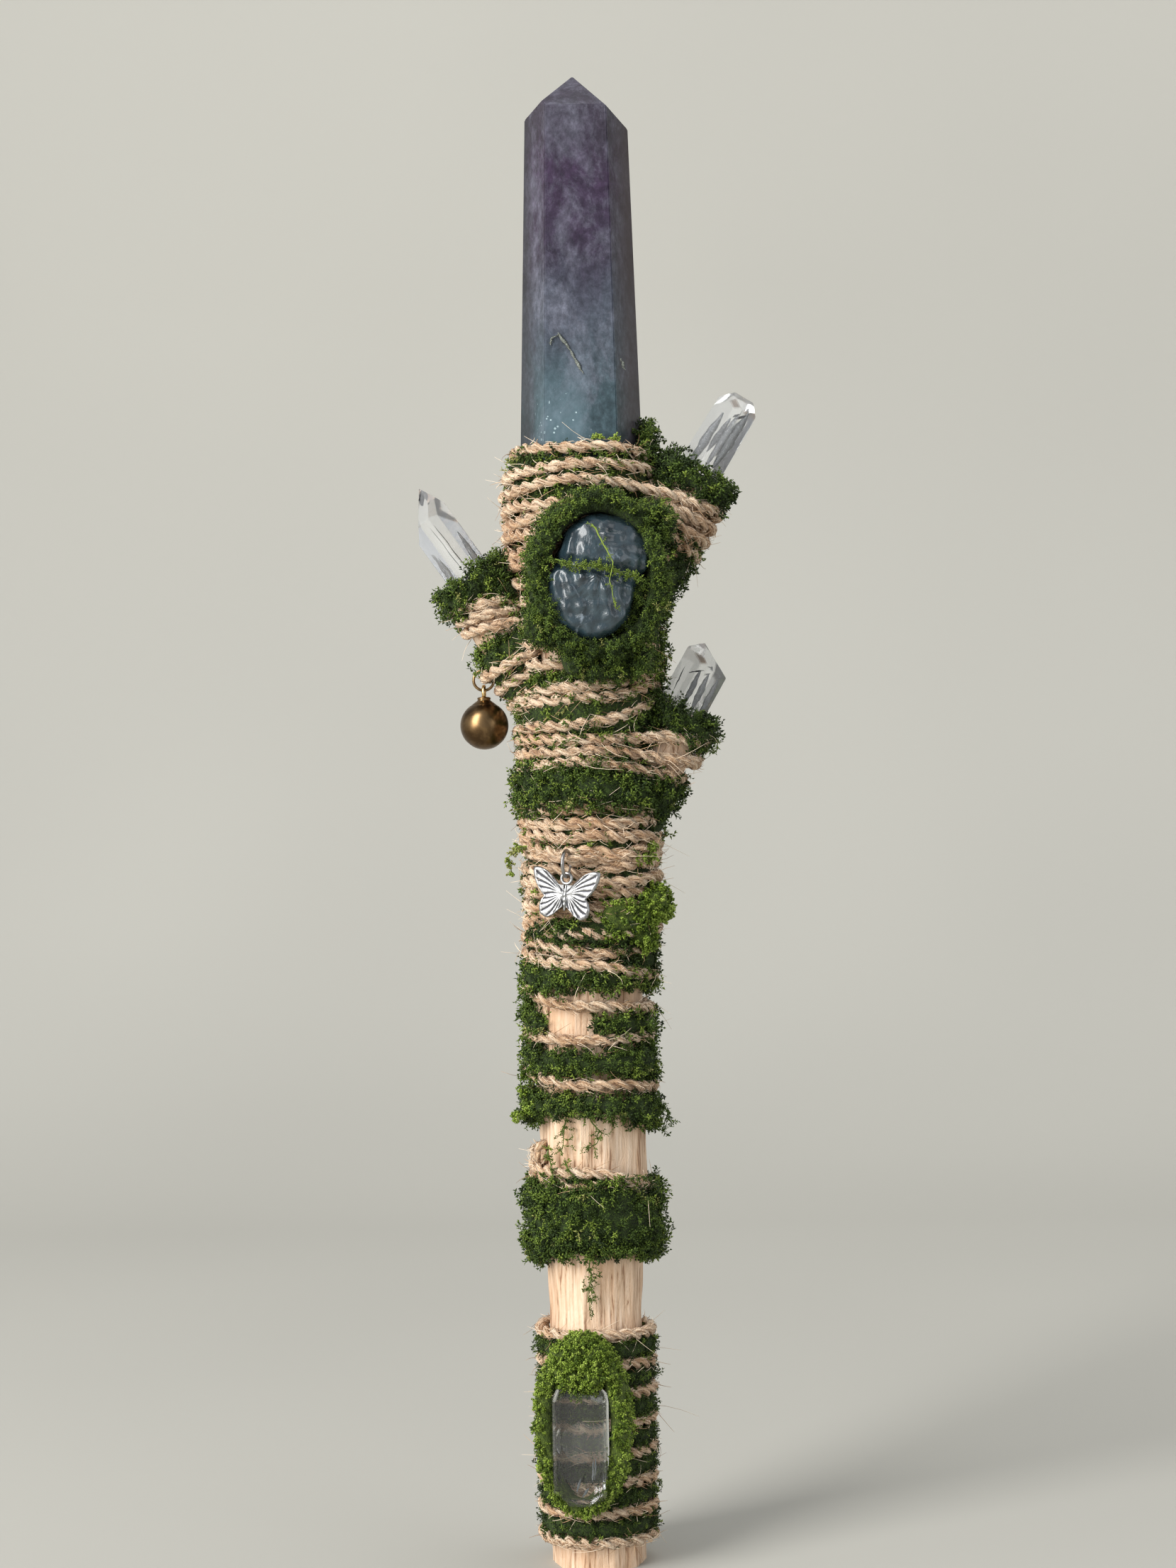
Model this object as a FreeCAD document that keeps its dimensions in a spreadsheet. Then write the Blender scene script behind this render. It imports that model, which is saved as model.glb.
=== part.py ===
import FreeCAD, Part
import os

import Sketcher
from FreeCAD import Placement, Rotation, Vector

# A hand-made wand: a peeled stick with three side stubs, wound with jute twine and moss.
# Its long axis is Z, the butt's sawn face is centred on the origin and the front faces -Y.

X_AXIS = Vector(1, 0, 0)
Y_AXIS = Vector(0, 1, 0)
Z_AXIS = Vector(0, 0, 1)

# Driving dimensions, millimetres and degrees.
SIZES = {
    # stick
    "stick_facets": 12,
    "stick_height": 183.6,
    "stub_root_radius": 7.0,
    "stub_mouth_radius": 5.8,
    "socket_radius": 4.75,
    "socket_depth": 4.6,
    # left stub and its quartz
    "left_lean": -35.0,
    "left_mouth_x": -18.74,
    "left_mouth_z": 168.27,
    "left_stub_length": 30.0,
    "left_quartz_width": 7.6,
    "left_quartz_depth": 6.6,
    "left_quartz_shoulder": 17.0,
    "left_quartz_length": 23.2,
    "left_quartz_tip_shift": 2.6,
    # upper right stub and its quartz
    "upper_right_lean": 32.0,
    "upper_right_mouth_x": 19.4,
    "upper_right_mouth_z": 185.8,
    "upper_right_stub_length": 32.0,
    "upper_right_quartz_width": 7.8,
    "upper_right_quartz_depth": 7.0,
    "upper_right_quartz_shoulder": 17.6,
    "upper_right_quartz_length": 20.4,
    "upper_right_quartz_tip_shift": 0.2,
    # lower right stub and its quartz
    "lower_right_lean": 30.0,
    "lower_right_mouth_x": 15.75,
    "lower_right_mouth_z": 144.8,
    "lower_right_stub_length": 28.0,
    "lower_right_quartz_width": 8.6,
    "lower_right_quartz_depth": 7.2,
    "lower_right_quartz_shoulder": 15.8,
    "lower_right_quartz_length": 19.2,
    "lower_right_quartz_tip_shift": -1.9,
    # dressing on the stubs, measured down from the mouth
    "cap_rise": 1.2,
    "cap_radius": 7.3,
    "cap_end": 2.6,
    "stub_wrap_radius": 8.3,
    "stub_wrap_end": 11.4,
    "stub_moss_radius": 7.9,
    "stub_moss_end": 26.0,
    # tower crystal on the top of the stick
    "tower_glue_thickness": 0.6,
    "tower_glue_radius": 8.4,
    "tower_width": 21.4,
    "tower_depth": 17.6,
    "tower_facet": 12.6,
    "tower_shoulder_width": 17.9,
    "tower_shoulder": 62.2,
    "tower_length": 71.2,
    "tower_tip_width": 0.8,
    # twine that ties the tower down
    "tower_wrap_start": 180.5,
    "tower_wrap_end": 192.4,
    "tower_wrap_low_radius": 14.2,
    "tower_wrap_high_radius": 12.7,
    # stone on the front and its moss nest
    "stone_yaw": 8.0,
    "stone_back": 14.4,
    "stone_thickness": 6.6,
    "stone_centre_x": 2.2,
    "nest_centre_z": 168.8,
    "nest_half_width": 12.4,
    "nest_half_height": 16.3,
    "nest_back": 9.8,
    "nest_front": 18.8,
    "stone_glue_radius": 4.6,
    "stone_glue_reach": 2.0,
    # clear crystal on the grip and its moss nest
    "grip_yaw": -11.5,
    "grip_core_radius": 10.75,
    "grip_core_height": 50.0,
    "grip_crystal_width": 9.6,
    "grip_crystal_back": 11.2,
    "grip_crystal_thickness": 6.2,
    "grip_crystal_bottom": 13.0,
    "grip_crystal_height": 20.4,
    "grip_crystal_round": 1.6,
    "grip_nest_centre_z": 26.2,
    "grip_nest_half_width": 8.7,
    "grip_nest_half_height": 16.2,
    "grip_nest_back": 7.6,
    "grip_nest_front": 15.6,
    "grip_glue_radius": 3.4,
    "grip_glue_reach": 1.6,
    # alternate rings of twine and moss on the grip
    "grip_ring_start": 3.8,
    "grip_ring_pitch": 5.0,
    "grip_ring_count": 8,
    "grip_twine_height": 2.4,
    "grip_twine_radius": 10.7,
    "grip_moss_radius": 10.4,
    # single turns of twine on the shaft
    "twine_radius": 1.0,
    "turn_radius": 10.3,
    "turn_tilt": 3.0,
    # strand, ring and butterfly charm
    "charm_yaw": -18.0,
    "charm_trunk_x": 0.6,
    "charm_strand_reach": 13.65,
    "charm_strand_bend": 5.5,
    "charm_strand_sweep": 104.0,
    "charm_strand_z": 121.0,
    "charm_ring_radius": 2.2,
    "charm_ring_wire": 0.3,
    "charm_ring_drop": 0.8,
    "charm_notch_width": 1.2,
    "charm_notch_face": 12.2,
    "charm_notch_clearance": 0.15,
    "charm_notch_below": 4.0,
    "charm_notch_above": 2.8,
    "charm_half_span": 6.1,
    "charm_half_height": 4.4,
    "charm_thickness": 0.9,
    "charm_eye_height": 2.75,
    "charm_eye_radius": 1.15,
    "charm_eye_hole": 0.62,
    "charm_eye_drop": 0.26,
    # strand, ring and round bell
    "bell_strand_station": 14.0,
    "bell_strand_bend": 8.25,
    "bell_ring_radius": 1.75,
    "bell_ring_wire": 0.25,
    "bell_ring_drop": 0.41,
    "bell_gap_half": 2.7,
    "bell_loop_radius": 1.0,
    "bell_loop_wire": 0.35,
    "bell_loop_drop": 0.35,
    "bell_cap_radius": 0.95,
    "bell_cap_height": 1.35,
    "bell_cap_overlap": 0.62,
    "bell_radius": 4.15,
    "bell_wall": 0.35,
    "bell_drop": 6.04,
    "bell_slot_width": 0.7,
    "bell_slot_length": 5.2,
    "bell_slot_hole": 0.7,
    "pellet_radius": 1.2,
    "pellet_gap": 0.03,
    # light moss patch beside the charm
    "patch_low_radius": 12.0,
    "patch_radius": 13.7,
    "patch_sweep": 58.0,
    "patch_turn": 72.0,
    "patch_bottom": 106.6,
    "patch_height": 8.2,
}

# Levels of the stick: height, radius to the facet corners, sideways drift of the centre.
STICK_LEVELS = [
    (0.0, 8.5, 0.0),
    (20.0, 8.8, -0.1),
    (44.0, 8.3, 0.0),
    (66.0, 9.3, 0.1),
    (92.0, 9.6, -0.4),
    (118.0, 9.9, 0.6),
    (146.0, 10.8, 0.3),
    (166.0, 11.3, 0.0),
    (183.6, 11.6, -0.2),
]

# Wound and mossy bands on the trunk: bottom, top, outer radius, sideways drift.
TRUNK_BANDS = {
    "neck_wrap": (168.0, 180.5, 13.8, -0.1),
    "back_wrap": (152.0, 168.0, 13.7, 0.0),
    "fork_wrap": (141.0, 152.0, 12.9, 0.3),
    "lower_wrap": (134.2, 141.0, 12.6, 0.4),
    "fork_moss": (129.5, 134.2, 12.7, 0.5),
    "charm_wrap": (106.2, 129.5, 12.0, 0.6),
    "shaft_wrap": (100.6, 106.2, 11.8, 0.1),
    "moss_band_1": (97.0, 100.6, 11.7, -0.2),
    "moss_band_2": (84.0, 88.2, 11.5, -0.3),
    "moss_band_3": (73.8, 80.4, 11.8, -0.1),
    "handle_wrap": (64.6, 69.2, 11.1, 0.1),
    "moss_band_4": (52.8, 64.6, 11.6, 0.1),
}

# Single turns of twine: height and sideways drift.
SINGLE_TURNS = {
    "shaft_turn_1": (95.2, -0.3),
    "shaft_turn_2": (90.0, -0.35),
    "shaft_turn_3": (82.2, -0.2),
}

STUBS = ("left", "upper_right", "lower_right")

# Outline of the front stone, seen from the front: across and up.
STONE_OUTLINE = [
    (3.3, 178.3), (8.1, 177.0), (10.9, 173.7), (10.7, 169.6), (8.6, 166.5), (7.9, 163.6),
    (6.7, 160.4), (3.3, 157.8), (-0.5, 157.5), (-4.3, 159.8), (-6.6, 163.6), (-6.5, 167.3),
    (-5.0, 169.8), (-4.0, 172.4), (-2.4, 175.9), (0.4, 177.9),
]

# Right half of the butterfly as shares of its half span and half height.
FORE_WING = [
    (0.05, 0.38), (0.21, 0.38), (0.37, 0.65), (0.57, 0.88), (0.79, 1.0), (0.97, 0.97),
    (0.96, 0.71), (0.87, 0.36), (0.73, 0.07), (0.61, -0.1),
]
HIND_WING = [
    (0.61, -0.1), (0.7, -0.27), (0.74, -0.52), (0.69, -0.8), (0.5, -0.94), (0.33, -0.82),
    (0.18, -0.61), (0.07, -0.48),
]

doc = FreeCAD.newDocument("magic_wand")
sheet = doc.addObject("Spreadsheet::Sheet", "sizes")
parts = {}


def fill_sheet():
    """Write each driving dimension to a cell and name the cell."""
    for row, (alias, number) in enumerate(SIZES.items(), start=1):
        sheet.set(f"A{row}", alias.replace("_", " "))
        sheet.set(f"B{row}", str(number))
        sheet.setAlias(f"B{row}", alias)
    doc.recompute()


def size(alias):
    return float(sheet.get(alias))


def bind(obj, **formulas):
    """Tie properties of an object to formulas on the sheet's cells."""
    for name, formula in formulas.items():
        obj.setExpression(name.replace("__", "."), formula)
    return obj


def primitive(kind, name, placement=None, **formulas):
    obj = doc.addObject(f"Part::{kind}", name)
    bind(obj, **formulas)
    if placement:
        obj.Placement = placement
    return obj


def cut(name, base, *tools):
    """Take each tool away from the base, one after another."""
    result = base
    for number, tool in enumerate(tools, start=1):
        step = doc.addObject("Part::Cut", f"{name}_cut_{number}")
        step.Base = result
        step.Tool = tool
        result = step
    return result


def fuse(name, *shapes):
    result = doc.addObject("Part::MultiFuse", name)
    result.Shapes = list(shapes)
    return result


def group(name, members):
    result = doc.addObject("Part::Compound", name)
    result.Links = list(members)
    return result


def keep(node, obj):
    """Name an object as a finished sub-part."""
    obj.Label = node
    parts[node] = obj
    return obj


def at(x, y, z, rotation=None):
    return Placement(Vector(x, y, z), rotation or Rotation())


def stub_frame(side, station=0.0):
    """Frame on a stub's axis: +Z out of the mouth, station measured inward from it."""
    turn = Rotation(Y_AXIS, size(f"{side}_lean"))
    mouth = Vector(size(f"{side}_mouth_x"), 0, size(f"{side}_mouth_z"))
    return Placement(mouth - turn.multVec(Z_AXIS) * station, turn)


def yawed(angle, centre_x=0.0):
    """Frame on the trunk's axis that is turned about Z, with its own front at -Y."""
    return at(centre_x, 0, 0, Rotation(Z_AXIS, angle))


def origin_plane(body, role):
    return next(item for item in body.Origin.OriginFeatures if item.Role == role)


def new_sketch(body, name, role, offset=None):
    sketch = body.newObject("Sketcher::SketchObject", name)
    sketch.AttachmentSupport = [(origin_plane(body, role), "")]
    sketch.MapMode = "FlatFace"
    if offset:
        sketch.AttachmentOffset = offset
    return sketch


def pad(body, sketch, name, length_formula):
    feature = body.newObject("PartDesign::Pad", name)
    feature.Profile = sketch
    bind(feature, Length=length_formula)
    return feature


def hexagon_sketch(body, name, height, width, facet, depth, shift="0"):
    """Six-sided section with corners at its left and right, bound to the sheet."""
    sketch = new_sketch(body, name, "XY_Plane")
    bind(sketch, AttachmentOffset__Base__z=height, AttachmentOffset__Base__x=shift)
    corners = [(4, 0), (2, 3), (-2, 3), (-4, 0), (-2, -3), (2, -3)]
    for index, corner in enumerate(corners):
        following = corners[(index + 1) % 6]
        sketch.addGeometry(Part.LineSegment(Vector(*corner, 0), Vector(*following, 0)), False)
    for index in range(6):
        joint = Sketcher.Constraint("Coincident", index, 2, (index + 1) % 6, 1)
        sketch.addConstraint(joint)
    sketch.addConstraint(Sketcher.Constraint("PointOnObject", 0, 1, -1))
    sketch.addConstraint(Sketcher.Constraint("Symmetric", 0, 1, 3, 1, -2))
    sketch.addConstraint(Sketcher.Constraint("Symmetric", 1, 1, 2, 1, -2))
    sketch.addConstraint(Sketcher.Constraint("Symmetric", 1, 1, 5, 1, -1))
    sketch.addConstraint(Sketcher.Constraint("Symmetric", 2, 1, 4, 1, -1))
    named = [("DistanceX", 0, width, 4.0), ("DistanceX", 1, facet, 2.0), ("DistanceY", 1, depth, 3.0)]
    for number, (kind, vertex, formula, first) in enumerate(named):
        index = sketch.addConstraint(Sketcher.Constraint(kind, -1, 1, vertex, 1, first))
        sketch.renameConstraint(index, f"half_{number}")
        sketch.setExpression(f"Constraints.half_{number}", f"({formula}) / 2")
    return sketch


def crystal_body(name, width, facet, depth, shoulder_width, shoulder, length, shift, tip_width):
    """Six-sided column that narrows to its shoulder and then to its tip."""
    body = doc.addObject("PartDesign::Body", name)
    share = f"({shoulder_width}) / ({width})"
    tip_share = f"({tip_width}) / ({width})"
    base = hexagon_sketch(body, f"{name}_base", "0", width, facet, depth)
    upper = hexagon_sketch(
        body, f"{name}_shoulder", shoulder, shoulder_width, f"{facet} * {share}", f"{depth} * {share}"
    )
    tip = hexagon_sketch(
        body, f"{name}_tip", length, tip_width, f"{facet} * {tip_share}", f"{depth} * {tip_share}", shift
    )
    loft = body.newObject("PartDesign::AdditiveLoft", f"{name}_loft")
    loft.Profile = base
    loft.Sections = [upper, tip]
    loft.Ruled = True
    return body


def make_branch():
    """The peeled stick, its three cut stubs and the bored socket in each."""
    levels = []
    for number, (height, radius, drift) in enumerate(STICK_LEVELS):
        level = doc.addObject("Part::RegularPolygon", f"stick_level_{number}")
        level.Circumradius = radius
        bind(level, Polygon="sizes.stick_facets")
        level.Placement = at(drift, 0, height, Rotation(Z_AXIS, 180 / size("stick_facets")))
        levels.append(level)
    trunk = doc.addObject("Part::Loft", "trunk")
    trunk.Sections = levels
    trunk.Solid = True
    trunk.Ruled = True
    limbs = [trunk]
    sockets = []
    for side in STUBS:
        length = f"sizes.{side}_stub_length"
        frame = stub_frame(side, size(f"{side}_stub_length"))
        limbs.append(primitive(
            "Cone", f"stub_{side}", frame,
            Radius1="sizes.stub_root_radius", Radius2="sizes.stub_mouth_radius", Height=length,
        ))
        sockets.append(primitive(
            "Cylinder", f"socket_{side}", stub_frame(side, size("socket_depth")),
            Radius="sizes.socket_radius", Height="sizes.socket_depth * 2",
        ))
    stick = fuse("uncut_stick", *limbs)
    keep("branch", cut("branch", stick, *sockets))
    return stick


def make_quartz(side):
    """A quartz point set in a stub's socket, and the glue that fills the socket round it."""
    prefix = f"sizes.{side}_quartz"
    crystal = crystal_body(
        f"quartz_{side}", f"{prefix}_width", f"{prefix}_width * 0.52", f"{prefix}_depth",
        f"{prefix}_width * 0.95", f"{prefix}_shoulder", f"{prefix}_length",
        f"{prefix}_tip_shift", "1.2",
    )
    crystal.Placement = stub_frame(side, size("socket_depth") - 0.3)
    plug = primitive(
        "Cylinder", f"plug_{side}", stub_frame(side, size("socket_depth") - 0.01),
        Radius="sizes.socket_radius - 0.01", Height="sizes.socket_depth - 0.02",
    )
    keep(f"quartz_{side}", crystal)
    keep(f"quartz_glue_{side}", cut(f"glue_{side}", plug, crystal))


def make_tower():
    """The large six-sided point, glued on end to the flat top of the stick."""
    tower = crystal_body(
        "tower", "sizes.tower_width", "sizes.tower_facet", "sizes.tower_depth",
        "sizes.tower_shoulder_width", "sizes.tower_shoulder", "sizes.tower_length",
        "-0.6", "sizes.tower_tip_width",
    )
    tower.Placement = at(0, 0, size("stick_height") + size("tower_glue_thickness"))
    keep("tower_crystal", tower)
    disc = primitive(
        "Cylinder", "tower_disc", at(0, 0, size("stick_height")),
        Radius="sizes.tower_glue_radius", Height="sizes.tower_glue_thickness",
    )
    keep("tower_glue", disc)


def make_trunk_bands(stick):
    """Bands of wound twine and of moss round the trunk, each hollow where the wood is."""
    more_tools = {"charm_wrap": [make_charm_notch()], "fork_wrap": [parts["quartz_lower_right"]]}
    for node, (bottom, top, radius, drift) in TRUNK_BANDS.items():
        sleeve = primitive("Cylinder", f"{node}_sleeve", at(drift, 0, bottom))
        sleeve.Radius = radius
        sleeve.Height = top - bottom
        keep(node, cut(node, sleeve, stick, *more_tools.get(node, [])))


def make_charm_notch():
    """Gap between turns of twine where the charm's ring passes behind its strand."""
    ring_back = size("charm_strand_reach") - size("charm_ring_radius") - size("charm_ring_wire")
    corner = Vector(
        -size("charm_notch_width") / 2,
        -size("charm_notch_face"),
        size("charm_strand_z") - size("charm_notch_below"),
    )
    frame = yawed(size("charm_yaw"), size("charm_trunk_x"))
    notch = primitive(
        "Box", "charm_notch", frame.multiply(Placement(corner, Rotation())),
        Length="sizes.charm_notch_width",
        Height="sizes.charm_notch_below + sizes.charm_notch_above",
    )
    notch.Width = size("charm_notch_face") - ring_back + size("charm_notch_clearance")
    return notch


def make_tower_wrap(stick):
    """Turns of twine that tie the foot of the tower to the top of the stick."""
    wrap = primitive(
        "Cone", "tower_wrap_cone", at(0, 0, size("tower_wrap_start")),
        Radius1="sizes.tower_wrap_low_radius", Radius2="sizes.tower_wrap_high_radius",
        Height="sizes.tower_wrap_end - sizes.tower_wrap_start",
    )
    tools = (parts["tower_crystal"], parts["tower_glue"], stick)
    keep("tower_wrap", cut("tower_wrap", wrap, *tools))


def stub_band(node, side, start, end, radius, *tools):
    """A band round a stub between two stations, hollow where the wood is."""
    sleeve = primitive("Cylinder", f"{node}_sleeve", stub_frame(side, end))
    sleeve.Radius = radius
    sleeve.Height = end - start
    return keep(node, cut(node, sleeve, *tools))


def make_stub_dressing(side, stick):
    """Moss cap round the quartz, wound twine below it and moss down to the fork."""
    trunk = [parts[node] for node in ("tower_wrap", "neck_wrap", "back_wrap", "fork_wrap")]
    trunk += [parts[node] for node in ("lower_wrap", "fork_moss", "charm_wrap")]
    core = (stick, parts["tower_crystal"], parts["tower_glue"])
    stub_band(
        f"moss_cap_{side}", side, -size("cap_rise"), size("cap_end"), size("cap_radius"),
        *core, parts[f"quartz_{side}"], *trunk,
    )
    stub_band(
        f"stub_wrap_{side}", side, size("cap_end"), size("stub_wrap_end"), size("stub_wrap_radius"),
        *core, *trunk,
    )
    moss_start = size("stub_wrap_end")
    if side == "left":
        moss_start = size("bell_strand_station") + size("bell_gap_half")
    stub_band(
        f"stub_moss_{side}", side, moss_start, size("stub_moss_end"), size("stub_moss_radius"),
        *core, *trunk,
    )


def make_single_turns(stick):
    """Single turns of twine, a little askew, that lie on the bare wood."""
    for number, (node, (height, drift)) in enumerate(SINGLE_TURNS.items()):
        tilt = size("turn_tilt") * (1 if number % 2 else -1)
        turn = primitive(
            "Torus", f"{node}_ring", at(drift, 0, height, Rotation(Y_AXIS, tilt)),
            Radius1="sizes.turn_radius", Radius2="sizes.twine_radius",
        )
        keep(node, cut(node, turn, stick))


def make_grip_rings(stick):
    """Rings of twine and rings of moss, by turns, round the grip."""
    twine = []
    moss = []
    count = int(size("grip_ring_count"))
    for number in range(count):
        bottom = size("grip_ring_start") + number * size("grip_ring_pitch")
        ring = primitive(
            "Cylinder", f"grip_twine_{number}", at(0, 0, bottom),
            Radius="sizes.grip_twine_radius", Height="sizes.grip_twine_height",
        )
        twine.append(cut(f"grip_twine_{number}", ring, stick))
        if number < count - 1:
            clump = primitive(
                "Cylinder", f"grip_moss_{number}", at(0, 0, bottom + size("grip_twine_height")),
                Radius="sizes.grip_moss_radius",
                Height="sizes.grip_ring_pitch - sizes.grip_twine_height",
            )
            moss.append(cut(f"grip_moss_{number}", clump, stick))
    keep("grip_twine", group("grip_twine_group", twine))
    keep("grip_moss", group("grip_moss_group", moss))


def ellipse_pad(name, half_width, half_height, thickness):
    """Upright oval plate in the XZ plane that is padded towards -Y."""
    body = doc.addObject("PartDesign::Body", name)
    sketch = new_sketch(body, f"{name}_outline", "XZ_Plane")
    oval = Part.Ellipse(Vector(0, size(half_height), 0), Vector(size(half_width), 0, 0), Vector())
    index = sketch.addGeometry(oval, False)
    sketch.exposeInternalGeometry(index)
    sketch.addConstraint(Sketcher.Constraint("Coincident", index, 3, -1, 1))
    pad(body, sketch, f"{name}_pad", thickness)
    return body


def make_front_stone(stick):
    """The raw stone, its glue pad and the moss nest round it."""
    yaw = yawed(size("stone_yaw"))
    centre = size("stone_centre_x")
    body = doc.addObject("PartDesign::Body", "stone")
    sketch = new_sketch(body, "stone_outline", "XZ_Plane")
    points = [Vector(across - centre, up, 0) for across, up in STONE_OUTLINE]
    outline = Part.BSplineCurve()
    outline.interpolate(Points=points, PeriodicFlag=True)
    sketch.addGeometry(outline, False)
    pad(body, sketch, "stone_pad", "sizes.stone_thickness")
    body.Placement = yaw.multiply(at(0, -size("stone_back"), 0))
    keep("front_stone", body)
    nest = ellipse_pad(
        "nest_oval", "nest_half_width", "nest_half_height", "sizes.nest_front - sizes.nest_back"
    )
    nest.Placement = yaw.multiply(at(0, -size("nest_back"), size("nest_centre_z")))
    trunk = [parts[node] for node in ("tower_wrap", "neck_wrap", "back_wrap", "fork_wrap")]
    glue = primitive(
        "Cylinder", "stone_glue_disc",
        yaw.multiply(at(0, -size("stone_back"), size("nest_centre_z"), Rotation(X_AXIS, -90))),
        Radius="sizes.stone_glue_radius",
    )
    glue.Height = size("stone_glue_reach")
    keep("stone_glue", cut("stone_glue", glue, *trunk))
    tools = [stick, *trunk, parts["front_stone"], parts["stone_glue"]]
    tools += [parts[f"{kind}_{side}"] for side in STUBS for kind in ("stub_wrap", "stub_moss", "moss_cap")]
    keep("front_nest", cut("front_nest", nest, *tools))


def make_grip_crystal():
    """The clear prism on the grip, its glue pad and the light moss nest round it."""
    yaw = yawed(size("grip_yaw"))
    body = doc.addObject("PartDesign::Body", "grip_prism")
    sketch = new_sketch(body, "grip_prism_outline", "XZ_Plane")
    half = size("grip_crystal_width") / 2
    height = size("grip_crystal_height")
    corners = [(-half, 0), (half, 0), (half, height), (-half, height)]
    for index, corner in enumerate(corners):
        following = corners[(index + 1) % 4]
        sketch.addGeometry(Part.LineSegment(Vector(*corner, 0), Vector(*following, 0)), False)
    for index in range(4):
        sketch.addConstraint(Sketcher.Constraint("Coincident", index, 2, (index + 1) % 4, 1))
    sketch.addConstraint(Sketcher.Constraint("Horizontal", 2))
    sketch.addConstraint(Sketcher.Constraint("Vertical", 1))
    sketch.addConstraint(Sketcher.Constraint("Symmetric", 0, 1, 0, 2, -2))
    sketch.addConstraint(Sketcher.Constraint("PointOnObject", 0, 1, -1))
    for name, edge, alias in (("width", 0, "grip_crystal_width"), ("height", 1, "grip_crystal_height")):
        index = sketch.addConstraint(Sketcher.Constraint("Distance", edge, size(alias)))
        sketch.renameConstraint(index, name)
        sketch.setExpression(f"Constraints.{name}", f"sizes.{alias}")
    block = pad(body, sketch, "grip_prism_pad", "sizes.grip_crystal_thickness")
    doc.recompute()
    rounding = body.newObject("PartDesign::Fillet", "grip_prism_round")
    rounding.Base = (block, [f"Edge{number}" for number in range(1, len(block.Shape.Edges) + 1)])
    bind(rounding, Radius="sizes.grip_crystal_round")
    body.Placement = yaw.multiply(at(0, -size("grip_crystal_back"), size("grip_crystal_bottom")))
    keep("grip_crystal", body)
    grip_core = primitive(
        "Cylinder", "grip_core", Radius="sizes.grip_core_radius", Height="sizes.grip_core_height"
    )
    middle = size("grip_crystal_bottom") + height / 2
    glue = primitive(
        "Cylinder", "grip_glue_disc",
        yaw.multiply(at(0, -size("grip_crystal_back"), middle, Rotation(X_AXIS, -90))),
        Radius="sizes.grip_glue_radius",
    )
    glue.Height = size("grip_glue_reach")
    keep("grip_glue", cut("grip_glue", glue, grip_core))
    nest = ellipse_pad(
        "grip_nest_oval", "grip_nest_half_width", "grip_nest_half_height",
        "sizes.grip_nest_front - sizes.grip_nest_back",
    )
    nest.Placement = yaw.multiply(at(0, -size("grip_nest_back"), size("grip_nest_centre_z")))
    keep("grip_nest", cut("grip_nest", nest, grip_core, parts["grip_crystal"], parts["grip_glue"]))


def make_light_patch():
    """A cushion of light moss on the wound twine, at the right of the charm."""
    turn = Rotation(Z_AXIS, -size("patch_turn"))
    frame = at(size("charm_trunk_x"), 0, size("patch_bottom"), turn)
    outer = primitive(
        "Cylinder", "patch_outer", frame,
        Radius="sizes.patch_radius", Height="sizes.patch_height", Angle="sizes.patch_sweep",
    )
    inner = primitive(
        "Cylinder", "patch_inner", at(size("charm_trunk_x"), 0, size("patch_bottom") - 1),
        Radius="sizes.patch_low_radius", Height="sizes.patch_height + 2",
    )
    keep("light_moss", cut("light_moss", outer, inner))


def make_charm():
    """The strand that carries the charm, its jump ring and the flat butterfly."""
    frame = yawed(size("charm_yaw"), size("charm_trunk_x"))
    reach = size("charm_strand_reach")
    bend = size("charm_strand_bend")
    level = size("charm_strand_z")
    sweep = size("charm_strand_sweep")
    bow = at(0, bend - reach, level, Rotation(Z_AXIS, -90 - sweep / 2))
    strand = primitive(
        "Torus", "charm_bow", frame.multiply(bow),
        Radius1="sizes.charm_strand_bend", Radius2="sizes.twine_radius",
        Angle3="sizes.charm_strand_sweep",
    )
    keep("charm_strand", cut("charm_strand", strand, parts["charm_wrap"], parts["light_moss"]))
    ring_z = level - size("charm_ring_drop")
    ring = primitive(
        "Torus", "jump_ring", frame.multiply(at(0, -reach, ring_z, Rotation(Y_AXIS, 90))),
        Radius1="sizes.charm_ring_radius", Radius2="sizes.charm_ring_wire",
    )
    keep("charm_ring", ring)
    wings = make_butterfly()
    hook_z = ring_z - size("charm_ring_radius")
    centre_z = hook_z - size("charm_eye_drop") - size("charm_eye_height")
    wings.Placement = frame.multiply(at(0, -reach + size("charm_thickness") / 2, centre_z))
    keep("butterfly", wings)


def wing_curve(shares, side):
    points = [
        Vector(side * across * size("charm_half_span"), up * size("charm_half_height"), 0)
        for across, up in shares
    ]
    curve = Part.BSplineCurve()
    curve.interpolate(points)
    return curve


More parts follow.
